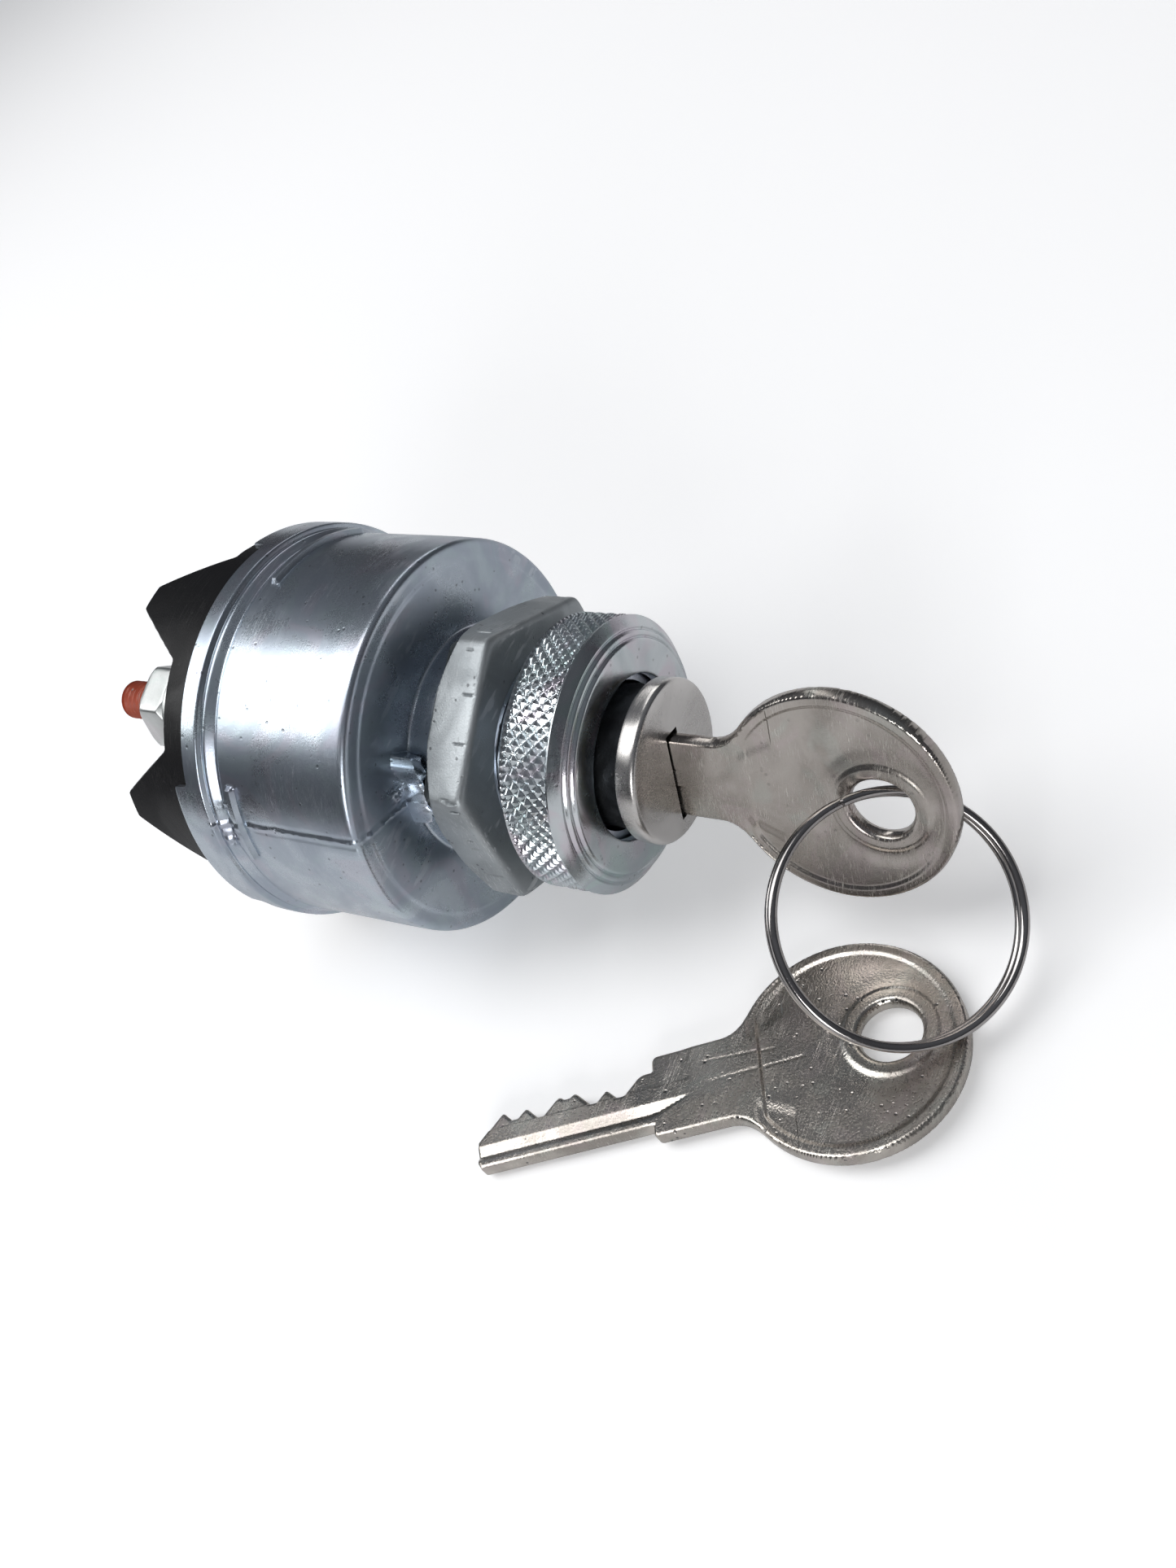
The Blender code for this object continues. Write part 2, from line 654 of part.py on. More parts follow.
def terminalBase(root):
    """Moulded base with a sloped ridge between each pair of terminals."""
    top = baseTop - gasketThick - 2 * gap
    wide = baseRadius + 1.0 * mm
    made = rod("terminal_base", wide, baseFloor, top, plasticBase, root, steps=roundSteps)
    for number, angle in enumerate(ridgeAngles()):
        outline = [(-ridgeFoot, 0), (ridgeFoot, 0), (ridgeLand, ridgeHeight + bite)]
        outline += [(-ridgeLand, ridgeHeight + bite)]
        start = centreWell - 2.0 * mm
        length = wide - start
        data = flatMesh(f"ridge_{number}", outline, length)
        ridge = addObject(f"ridge_block_{number}", data, None, root)
        outward = polar(1, angle)
        across = Vector((-outward.y, outward.x, 0))
        middle = outward * (start + length / 2) + Vector((0, 0, baseFloor + bite))
        ridge.matrix_local = frameFrom(-across, Vector((0, 0, -1)), middle)
        combine(made, ridge, "UNION")
    for number, angle in enumerate(terminalAngles()):
        spot = polar(studCircle, angle)
        seat = rod(
            f"seat_block_{number}", seatRadius + bite, baseFloor - seatHeight - bite,
            baseFloor + bite, None, root, (spot.x, spot.y), 24)
        combine(made, seat, "UNION")
    trim = rod("base_trim", baseRadius, ridgeTop - bite, top + bite, None, root, steps=roundSteps)
    combine(made, trim, "INTERSECT")
    well = rod(
        "centre_well", centreWell, ridgeTop - bite, baseFloor + moat, None, root, steps=32)
    combine(made, well, "DIFFERENCE")
    seatTop = baseFloor - seatHeight
    for number, angle in enumerate(terminalAngles()):
        spot = polar(studCircle, angle)
        profile = [(0, seatTop), (seatRadius, seatTop), (seatRadius, baseFloor + moat)]
        profile += [(bayRadius, baseFloor + moat), (bayRadius, ridgeTop - bite), (0, ridgeTop - bite)]
        bay = turned(f"bay_cutter_{number}", profile, None, root, 24, closed=False)
        bay.location = (spot.x, spot.y, 0)
        bay.rotation_euler.z = math.radians(angle)
        combine(made, bay, "DIFFERENCE")
        hole = rod(
            f"stud_hole_{number}", studRadius + gap, ridgeTop, top + bite, None, root,
            (spot.x, spot.y))
        combine(made, hole, "DIFFERENCE")
    return made


def terminal(number, angle, root):
    """Stud with its contact head inside, and its washer and nut outside."""
    spot = polar(studCircle, angle)
    head = baseTop - gap
    tipRound = studRadius * 0.4
    profile = [(0, headTop), (headRadius, headTop), (headRadius, head), (studRadius, head)]
    profile += [(studRadius, studBottom + tipRound), (studRadius - tipRound, studBottom)]
    profile += [(0, studBottom)]
    stud = turned(f"terminal_stud_{number}", profile, metalStud, root, smallSteps, closed=False)
    stud.location = (spot.x, spot.y, 0)
    washer = ringShape(
        f"terminal_washer_{number}", studRadius + gap, washerRadius, washerTop - washerThick,
        washerTop, metalStud, root, 24)
    washer.location = (spot.x, spot.y, 0)
    nut = rod(
        f"terminal_nut_{number}", nutAcross / math.sqrt(3), nutBottom, nutTop, metalStud, root,
        (spot.x, spot.y), 6, angle)
    bore = rod(
        f"nut_bore_{number}", studRadius + gap, nutBottom - bite, nutTop + bite, None, root,
        (spot.x, spot.y))
    combine(nut, bore, "DIFFERENCE")


def rotor(turning):
    """Moulded rotor: a disc on a hub that the plug's tang drives, with a pocket for the detent."""
    plugEnd = lockBottom - gap - clipThick - 2 * gap - plugTail
    hubTop = plugEnd - gap
    profile = [(0, hubTop), (hubRadius, hubTop), (hubRadius, rotorTop), (rotorRadius, rotorTop)]
    profile += [(rotorRadius, rotorBottom), (0, rotorBottom)]
    made = turned("rotor", profile, plasticRotor, turning, steps=32, closed=False)
    slot = keyPlaneBlock(
        "rotor_slot", (-tangThick / 2 - gap, tangThick / 2 + gap),
        (-tangWidth / 2 - gap, tangWidth / 2 + gap),
        (plugEnd - tangLength - gap, hubTop + bite), None, turning)
    combine(made, slot, "DIFFERENCE")
    outward = polar(1, ballAngle)
    upward = Vector((0, 0, 1))
    middle = outward * rotorRadius + upward * (rotorBottom + rotorThick / 2)
    pocket = rod("detent_pocket", ballRadius + gap, -pocketDepth, bite, None, turning)
    pocket.matrix_local = frameFrom(upward, outward.cross(upward), middle)
    combine(made, pocket, "DIFFERENCE")
    return made


def detent(turning, root):
    """Ball and spring in the rotor, and the fixed ring whose notches set the key's positions."""
    outward = polar(1, ballAngle)
    upward = Vector((0, 0, 1))
    level = rotorBottom + rotorThick / 2
    ball = bpy.data.meshes.new("detent_ball")
    shape = bmesh.new()
    bmesh.ops.create_uvsphere(shape, u_segments=14, v_segments=8, radius=ballRadius)
    shape.to_mesh(ball)
    shape.free()
    ballObject = addObject("detent_ball", ball, metalSteel, turning)
    ballObject.location = outward * ballCircle + upward * level
    inner = rotorRadius - pocketDepth + gap
    spring = coil(
        "detent_spring", ballRadius - 0.3 * mm, 0.2 * mm, inner, ballCircle - ballRadius - gap,
        4, metalSteel, turning, 8, 1)
    spring.matrix_local = frameFrom(upward, outward.cross(upward), upward * level)
    ring = ringShape(
        "detent_ring", detentInner, canRadius - canDraft - canWall - gap,
        level - detentThick / 2, level + detentThick / 2, metalSteel, root, 40)
    for number, angle in enumerate(detentAngles):
        spot = polar(detentInner, ballAngle - angle)
        notch = rod(
            f"notch_cutter_{number}", detentNotch, level - detentThick, level + detentThick, None,
            root, (spot.x, spot.y), 16)
        combine(ring, notch, "DIFFERENCE")


def contacts(turning):
    """Sprung contact plate with three arms that bridge the stud heads."""
    low = contactBottom
    plate = rod("contact_plate", contactHub, low, low + contactThick, metalBrass, turning, steps=32)
    for number, angle in enumerate((ballAngle, ballAngle + 120, ballAngle + 240)):
        length = contactRadius - contactHub / 2
        level = Vector((0, 0, low + contactThick / 2))
        middle = polar(contactHub / 2 + length / 2, angle) + level
        place = Matrix.Translation(middle) @ Matrix.Rotation(math.radians(angle), 4, "Z")
        arm = block(
            f"contact_arm_{number}", (length, 2 * contactArm, contactThick), place, None, turning)
        combine(plate, arm, "UNION")
    coil(
        "contact_spring", contactSpringRadius, contactSpringWire, low + contactThick + gap,
        rotorBottom - gap, 2, metalSteel, turning, perTurn=24)


def returnSpring(root):
    """Torsion spring round the rotor's hub that brings the key back from start."""
    coil(
        "return_spring", returnSpringRadius, returnSpringWire, rotorTop + gap,
        rotorTop + gap + returnSpringLength, returnSpringTurns, metalSteel, root, perTurn=32)


clearScene()
switchParts = makeCollection("ignition_selector_switch", False)
cutters = makeCollection("cutters", True)
layDown = Matrix.Rotation(math.pi / 2, 4, "X")
root = makeEmpty("switch_frame", None, layDown)
turning = makeEmpty("key_turn_axis", root)
waferCarrier = makeEmpty("wafer_carrier", turning)
keyCarrier = makeEmpty("key_slide_axis", turning)

housing(root)
hexNut(root)
bezelNut(root)
lockShell(root)
lockPlug(turning)
faceCap(turning)
plugClip(turning)
for number in range(waferCount):
    wafer(number, waferCarrier, turning)
keyPlace = frameFrom(
    Vector((0, 0, -1)), -axisTop, -axisTop * keyOffset + Vector((0, 0, bowHeight)))
makeKey("key_in_lock", keyCarrier, keyPlace)

gasket(root)
terminalBase(root)
for number, angle in enumerate(terminalAngles()):
    terminal(number + 1, angle, root)
rotor(turning)
contacts(turning)
detent(turning, root)
returnSpring(root)

spareSide = spareTip.cross(spareFace).normalized()
spareUp = spareSide.cross(spareTip)
splitRing(makeEmpty("ring_frame"))
makeKey("spare_key", makeEmpty("spare_frame"), frameFrom(spareTip, spareSide, spareBow))
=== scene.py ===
import math

import bpy
import numpy as np
from mathutils import Matrix, Vector


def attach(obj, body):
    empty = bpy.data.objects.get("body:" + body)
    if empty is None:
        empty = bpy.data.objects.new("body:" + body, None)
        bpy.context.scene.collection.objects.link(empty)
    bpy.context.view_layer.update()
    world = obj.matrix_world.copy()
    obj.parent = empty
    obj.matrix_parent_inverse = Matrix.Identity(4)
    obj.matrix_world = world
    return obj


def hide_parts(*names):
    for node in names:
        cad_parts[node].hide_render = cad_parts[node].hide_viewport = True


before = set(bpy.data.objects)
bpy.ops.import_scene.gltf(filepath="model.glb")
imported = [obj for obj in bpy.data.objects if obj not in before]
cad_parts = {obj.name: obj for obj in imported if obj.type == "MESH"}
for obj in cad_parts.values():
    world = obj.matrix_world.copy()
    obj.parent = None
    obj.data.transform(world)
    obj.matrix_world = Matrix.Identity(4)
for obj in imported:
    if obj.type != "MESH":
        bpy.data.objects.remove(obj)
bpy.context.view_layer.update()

mm = 0.001
switchBody = "switch_body"
turningBody = "key_plug"

# Lengths below are in millimetres. The lock's axis runs along Y, and a station is a place along it:
# 0 where the jam nut seats on the panel, negative towards the key, positive towards the terminals.


def finishMesh(name, points, faces, materials, smoothAngle=35):
    data = bpy.data.meshes.new(name)
    data.from_pydata((np.asarray(points) * mm).tolist(), [], [tuple(face) for face in faces])
    corners = [points[[face[i] for face in faces]] for i in (0, 1, 2)]
    if np.einsum("ij,ij->", corners[0], np.cross(corners[1], corners[2])) < 0:
        data.flip_normals()
    data.shade_smooth()
    data.set_sharp_from_angle(angle=math.radians(smoothAngle))
    for material in materials:
        data.materials.append(material)
    made = bpy.data.objects.new(name, data)
    bpy.context.scene.collection.objects.link(made)
    return made


def stand(made, body, slotName, *nodes):
    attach(made, body)
    if nodes:
        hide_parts(*nodes)
    return made


# A closed section of (radius, station, rounding, step) corners, where the step spaces the rows up to
# the next corner
def sectionRows(corners):
    rows = []
    spots = [np.array(corner[:2], float) for corner in corners]
    for i, (corner, spot) in enumerate(zip(corners, spots)):
        before = spots[i - 1] - spot
        after = spots[(i + 1) % len(spots)] - spot
        lengths = np.linalg.norm(before), np.linalg.norm(after)
        cut = min(corner[2], 0.45 * min(lengths))
        start = spot + before / lengths[0] * cut
        end = spot + after / lengths[1] * cut
        if cut > 0:
            for t in np.linspace(0, 1, 6):
                rows.append((1 - t) ** 2 * start + 2 * t * (1 - t) * spot + t ** 2 * end)
        else:
            rows.append(spot)
        following = spots[(i + 1) % len(spots)]
        nextCut = min(corners[(i + 1) % len(corners)][2], 0.45 * lengths[1])
        stop = following - after / lengths[1] * nextCut
        count = int(np.linalg.norm(stop - end) / corner[3])
        for t in np.arange(1, count) / max(count, 1):
            rows.append(end + (stop - end) * t)
    return np.array(rows)


# Sweeps a section round the axis. change gives how far the skin stands out, by angle, radius and station
def turnedPiece(name, corners, columns, materials, change=None, shift=None, centre=(0, 0), hexagon=None):
    rows = sectionRows(corners)
    radius, station = rows[:, :1], rows[:, 1:]
    along = np.roll(rows, -1, 0) - np.roll(rows, 1, 0)
    normal = np.stack([along[:, 1], -along[:, 0]], 1)
    normal /= np.linalg.norm(normal, axis=1)[:, None] + 1e-9
    area = np.sum(rows[:, 0] * np.roll(rows[:, 1], -1) - np.roll(rows[:, 0], -1) * rows[:, 1])
    normal *= 1 if area > 0 else -1
    degrees = np.arange(columns)[None, :] * 360 / columns
    out = change(degrees, radius, station) if change else np.zeros((len(rows), columns))
    wide = radius + normal[:, :1] * out
    deep = station + normal[:, 1:] * out
    if shift is not None:
        deep = shift(degrees, wide, deep)
    if hexagon is not None:
        wide = hexagon(degrees, wide, deep)
    turn = np.radians(degrees)
    points = np.stack([wide * np.cos(turn) + centre[0], deep, wide * np.sin(turn) + centre[1]], -1)
    ring = np.arange(columns)
    first = np.arange(len(rows))[:, None] * columns
    second = np.roll(np.arange(len(rows)), -1)[:, None] * columns
    nextRing = (ring + 1) % columns
    faces = np.stack([first + ring, first + nextRing, second + nextRing, second + ring], -1)
    return finishMesh(name, points.reshape(-1, 3), faces.reshape(-1, 4).tolist(), materials)


def fade(value, start, stop):
    t = np.clip((value - start) / (stop - start), 0, 1)
    return t * t * (3 - 2 * t)


def turnFrom(degrees, angle):
    return (degrees - angle + 180) % 360 - 180


# Distance along the skin from an angle, and how far inside a stretch of angles a point lies
def arcFrom(degrees, angle, radius):
    return turnFrom(degrees, angle) * math.pi / 180 * radius


def arcInside(degrees, stretch, radius):
    return np.minimum(degrees - stretch[0], stretch[1] - degrees) * math.pi / 180 * radius


# Slow even bumps that close on themselves round the axis
def unevenness(degrees, station, count, finest, seed):
    pick = np.random.default_rng(seed)
    total = 0
    for _ in range(count):
        around = pick.integers(1, finest)
        along = pick.uniform(-finest, finest) / 24
        phase = pick.uniform(0, 2 * math.pi)
        total = total + np.sin(np.radians(degrees) * around + station * along + phase)
    return total / math.sqrt(count)


# A V thread with narrow flats at its crest and root
def threadCut(degrees, station, pitch, depth):
    turn = (station / pitch - degrees / 360) % 1
    return -depth * np.clip(np.abs(turn * 2 - 1) * 1.25 - 0.05, 0, 1)


# How far out a hexagon reaches by angle, as a share of its half width, with corners a little soft
def hexagonReach(degrees, cornerAngle, soft=0.02):
    away = np.radians((degrees - cornerAngle) % 60 - 30)
    reach = 1 / np.cos(away)
    most = 2 / math.sqrt(3)
    return reach - soft * np.exp(-(most - reach) / soft)


# Bends circles to a hexagon, keeping the bore round and turning the corners off beyond a chamfer
def hexagonWith(across, bore, cornerAngle, ends):
    half = across / 2

    def bend(degrees, wide, deep):
        share = np.clip((wide - bore) / (half - bore), 0, 1.2)
        bent = wide + (hexagonReach(degrees, cornerAngle) - 1) * share * half
        for station, chamfer in ends:
            room = np.abs(deep - station) / chamfer * half * (2 / math.sqrt(3) - 1)
            limit = half + room
            over = np.clip(bent - limit, 0, None) * (wide > half - 0.8)
            bent = bent - over
        return bent
    return bend


def boxDistance(x, y, low, high):
    across = np.maximum(low[0] - x, x - high[0])
    along = np.maximum(low[1] - y, y - high[1])
    outside = np.hypot(np.maximum(across, 0), np.maximum(along, 0))
    return np.where((across > 0) | (along > 0), outside, np.maximum(across, along))


def blendDistances(first, second, width):
    share = np.clip(0.5 + 0.5 * (second - first) / width, 0, 1)
    return second + (first - second) * share - width * share * (1 - share)


# A plate whose outline is where distance is 0 and whose faces stand at height(x, y, depth inside)
def reliefPlate(distance, low, high, cell, top, bottom):
    xs = np.arange(low[0], high[0] + cell, cell)
    ys = np.arange(low[1], high[1] + cell, cell)
    x, y = np.meshgrid(xs, ys, indexing="ij")
    for _ in range(2):
        away = distance(x, y)
        slopeX = (distance(x + 0.01, y) - away) / 0.01
        slopeY = (distance(x, y + 0.01) - away) / 0.01
        near = np.abs(away) < 0.62 * cell
        x = np.where(near, x - away * slopeX, x)
        y = np.where(near, y - away * slopeY, y)
    inside = (distance(x, y) < 0.08 * cell) | near
    index = np.arange(x.size).reshape(x.shape)
    squares = np.stack([index[:-1, :-1], index[1:, :-1], index[1:, 1:], index[:-1, 1:]], -1)
    kept = inside.reshape(-1)[squares]
    faces = squares[kept.all(-1)].tolist()
    threeLeft = kept.sum(-1) == 3
    faces += [face[keep].tolist() for face, keep in zip(squares[threeLeft], kept[threeLeft])]
    used = np.zeros(x.size, bool)
    used[np.concatenate([np.array(face) for face in faces])] = True
    order = np.cumsum(used) - 1
    faces = [[int(order[corner]) for corner in face] for face in faces]
    x, y = x.reshape(-1)[used], y.reshape(-1)[used]
    depth = -np.minimum(distance(x, y), 0)
    upper = np.stack([x, y, top(x, y, depth)], 1)
    lower = np.stack([x, y, bottom(x, y, depth)], 1)
    count = len(x)
    edges = {(face[i], face[(i + 1) % len(face)]) for face in faces for i in range(len(face))}
    walls = [[b, a, a + count, b + count] for a, b in edges if (b, a) not in edges]
    under = [[corner + count for corner in reversed(face)] for face in faces]
    return np.concatenate([upper, lower]), faces + under + walls


def newGroup(name, inputs, outputs):
    group = bpy.data.node_groups.new(name, "ShaderNodeTree")
    for label, value in inputs.items():
        socket = group.interface.new_socket(label, in_out="INPUT", socket_type="NodeSocketFloat")
        socket.default_value = value
    for label in outputs:
        group.interface.new_socket(label, in_out="OUTPUT", socket_type="NodeSocketFloat")
    return group, group.nodes.new("NodeGroupInput"), group.nodes.new("NodeGroupOutput")


def addNode(tree, kind, **settings):
    node = tree.nodes.new(kind)
    for name, value in settings.items():
        setattr(node, name, value)
    return node


def calculate(tree, operation, first, second=None, third=None, clamp=False):
    node = addNode(tree, "ShaderNodeMath", operation=operation, use_clamp=clamp)
    for socket, value in zip(node.inputs, (first, second, third)):
        if isinstance(value, (int, float)):
            socket.default_value = value
        elif value is not None:
            tree.links.new(value, socket)
    return node.outputs[0]


def rampBetween(tree, value, start, stop, low=0.0, high=1.0):
    node = addNode(tree, "ShaderNodeMapRange", interpolation_type="SMOOTHSTEP")
    tree.links.new(value, node.inputs["Value"])
    for label, level in (("From Min", start), ("From Max", stop), ("To Min", low), ("To Max", high)):
        node.inputs[label].default_value = level
    return node.outputs["Result"]


def spotNoise(tree, place, scale, detail=3.0, distortion=0.0, scaleSocket=None):
    node = addNode(tree, "ShaderNodeTexNoise")
    tree.links.new(place, node.inputs["Vector"])
    node.inputs["Scale"].default_value = scale
    node.inputs["Detail"].default_value = detail
    node.inputs["Distortion"].default_value = distortion
    if scaleSocket is not None:
        tree.links.new(scaleSocket, node.inputs["Scale"])
    return node.outputs["Fac"]


def objectPlace(tree):
    return addNode(tree, "ShaderNodeTexCoord").outputs["Object"]


# Hair scratches in several directions: each is a stretched noise cut off near its peaks
def makeScratchGroup():
    group, given, result = newGroup("hairScratches", {"Amount": 0.5}, ["Mask"])
    place = objectPlace(group)
    total = None
    for turn in ((0.3, 0.2, 0.9), (1.2, 0.5, -0.4), (-0.5, 0.9, 1.9), (0.9, -0.7, 2.8)):
        mapping = addNode(group, "ShaderNodeMapping")
        mapping.inputs["Rotation"].default_value = turn
        mapping.inputs["Scale"].default_value = (180, 9000, 700)
        group.links.new(place, mapping.inputs["Vector"])
        streak = spotNoise(group, mapping.outputs[0], 1.0, 2.0)
        line = rampBetween(group, streak, 0.64, 0.70)
        total = line if total is None else calculate(group, "MAXIMUM", total, line)
    patch = rampBetween(group, spotNoise(group, place, 160, 2.0), 0.42, 0.62)
    shown = calculate(group, "MULTIPLY", total, patch)
    shown = calculate(group, "MULTIPLY", shown, given.outputs["Amount"], clamp=True)
    group.links.new(shown, result.inputs["Mask"])
    return group


# Cast or etched skin: cloudy tone, small dark pits and a fine grain
def makeSkinGroup():
    group, given, result = newGroup(
        "castSkin", {"Grain Size": 4500.0, "Pits": 0.5}, ["Cloud", "Pits", "Grain"])
    place = objectPlace(group)
    cloud = rampBetween(group, spotNoise(group, place, 120, 5.0, 0.6), 0.35, 0.68)
    group.links.new(cloud, result.inputs["Cloud"])
    cells = addNode(group, "ShaderNodeTexVoronoi")
    group.links.new(place, cells.inputs["Vector"])
    cells.inputs["Scale"].default_value = 900
    dots = rampBetween(group, cells.outputs["Distance"], 0.10, 0.22, 1.0, 0.0)
    rare = rampBetween(group, spotNoise(group, place, 420, 3.0), 0.50, 0.60)
    pits = calculate(group, "MULTIPLY", dots, rare)
    pits = calculate(group, "MULTIPLY", pits, given.outputs["Pits"])
    group.links.new(pits, result.inputs["Pits"])
    grain = spotNoise(group, place, 4500, 3.0, 0.0, given.outputs["Grain Size"])
    group.links.new(grain, result.inputs["Grain"])
    return group


# Where a clear chromate or nickel film turns slightly pink or green
def makeFilmGroup():
    group, given, result = newGroup("filmTint", {"Size": 140.0}, ["Pink", "Green"])
    place = objectPlace(group)
    wave = spotNoise(group, place, 140, 2.0, 1.5, given.outputs["Size"])
    group.links.new(rampBetween(group, wave, 0.52, 0.66), result.inputs["Pink"])
    group.links.new(rampBetween(group, wave, 0.46, 0.34), result.inputs["Green"])
    return group


def mixColour(tree, factor, first, second):
    node = addNode(tree, "ShaderNodeMix", data_type="RGBA")
    for socket, value in ((node.inputs[0], factor), (node.inputs[6], first), (node.inputs[7], second)):
        if isinstance(value, (int, float)):
            socket.default_value = value
        elif isinstance(value, tuple):
            socket.default_value = (*value, 1)
        else:
            tree.links.new(value, socket)
    return node.outputs[2]


def useGroup(tree, group, **values):
    node = addNode(tree, "ShaderNodeGroup", node_tree=group)
    for label, value in values.items():
        node.inputs[label.replace("_", " ")].default_value = value
    return node.outputs


# One metal or moulded finish from the shared effects. Its look says how much of each it has, and what
# it leaves out is the number given here beside the name
def makeFinish(name, look):
    material = bpy.data.materials.new(name)
    material.use_nodes = True
    tree = material.node_tree
    shader = tree.nodes["Principled BSDF"]
    shader.inputs["Metallic"].default_value = look["metallic"]
    shader.inputs["Specular IOR Level"].default_value = look.get("specular", 0.5)
    skin = useGroup(tree, castSkin, Grain_Size=look.get("grainSize", 4500.0), Pits=look.get("pits", 0.4))
    film = useGroup(tree, filmTint, Size=look.get("filmSize", 140.0))
    marks = useGroup(tree, hairScratches, Amount=look.get("scratches", 0.4))
    colour = mixColour(tree, skin["Cloud"], look["dark"], look["light"])
    filmShare = look.get("film")
    if filmShare:
        pink = calculate(tree, "MULTIPLY", film["Pink"], filmShare)
        green = calculate(tree, "MULTIPLY", film["Green"], filmShare)
        colour = mixColour(tree, pink, colour, look.get("pink", (0.72, 0.52, 0.62)))
        colour = mixColour(tree, green, colour, look.get("green", (0.50, 0.68, 0.62)))
    colour = mixColour(tree, skin["Pits"], colour, look.get("pit", (0.08, 0.08, 0.085)))
    colour = mixColour(tree, marks["Mask"], colour, look.get("scratch", look["light"]))
    tree.links.new(colour, shader.inputs["Base Color"])
    rough = rampBetween(tree, skin["Cloud"], 0.0, 1.0, look["rough"][1], look["rough"][0])
    grainRough = calculate(tree, "MULTIPLY_ADD", skin["Grain"], look.get("grainRough", 0.12), rough)
    shift = -0.5 * look.get("grainRough", 0.12)
    rough = calculate(tree, "ADD", grainRough, shift)
    rough = calculate(tree, "MULTIPLY_ADD", marks["Mask"], look.get("scratchRough", 0.12), rough, clamp=True)
    tree.links.new(rough, shader.inputs["Roughness"])
    height = calculate(tree, "MULTIPLY", skin["Grain"], look.get("grain", 0.4))
    height = calculate(tree, "MULTIPLY_ADD", skin["Cloud"], look.get("ripple", 0.3), height)
    height = calculate(tree, "MULTIPLY_ADD", skin["Pits"], -look.get("pitDepth", 1.5), height)
    height = calculate(tree, "MULTIPLY_ADD", marks["Mask"], -look.get("scratchDepth", 0.4), height)
    bump = addNode(tree, "ShaderNodeBump")
    bump.inputs["Distance"].default_value = look.get("bump", 0.03) * mm
    bump.inputs["Strength"].default_value = 1.0
    tree.links.new(height, bump.inputs["Height"])
    tree.links.new(bump.outputs["Normal"], shader.inputs["Normal"])
    return material


castSkin = makeSkinGroup()
filmTint = makeFilmGroup()
hairScratches = makeScratchGroup()

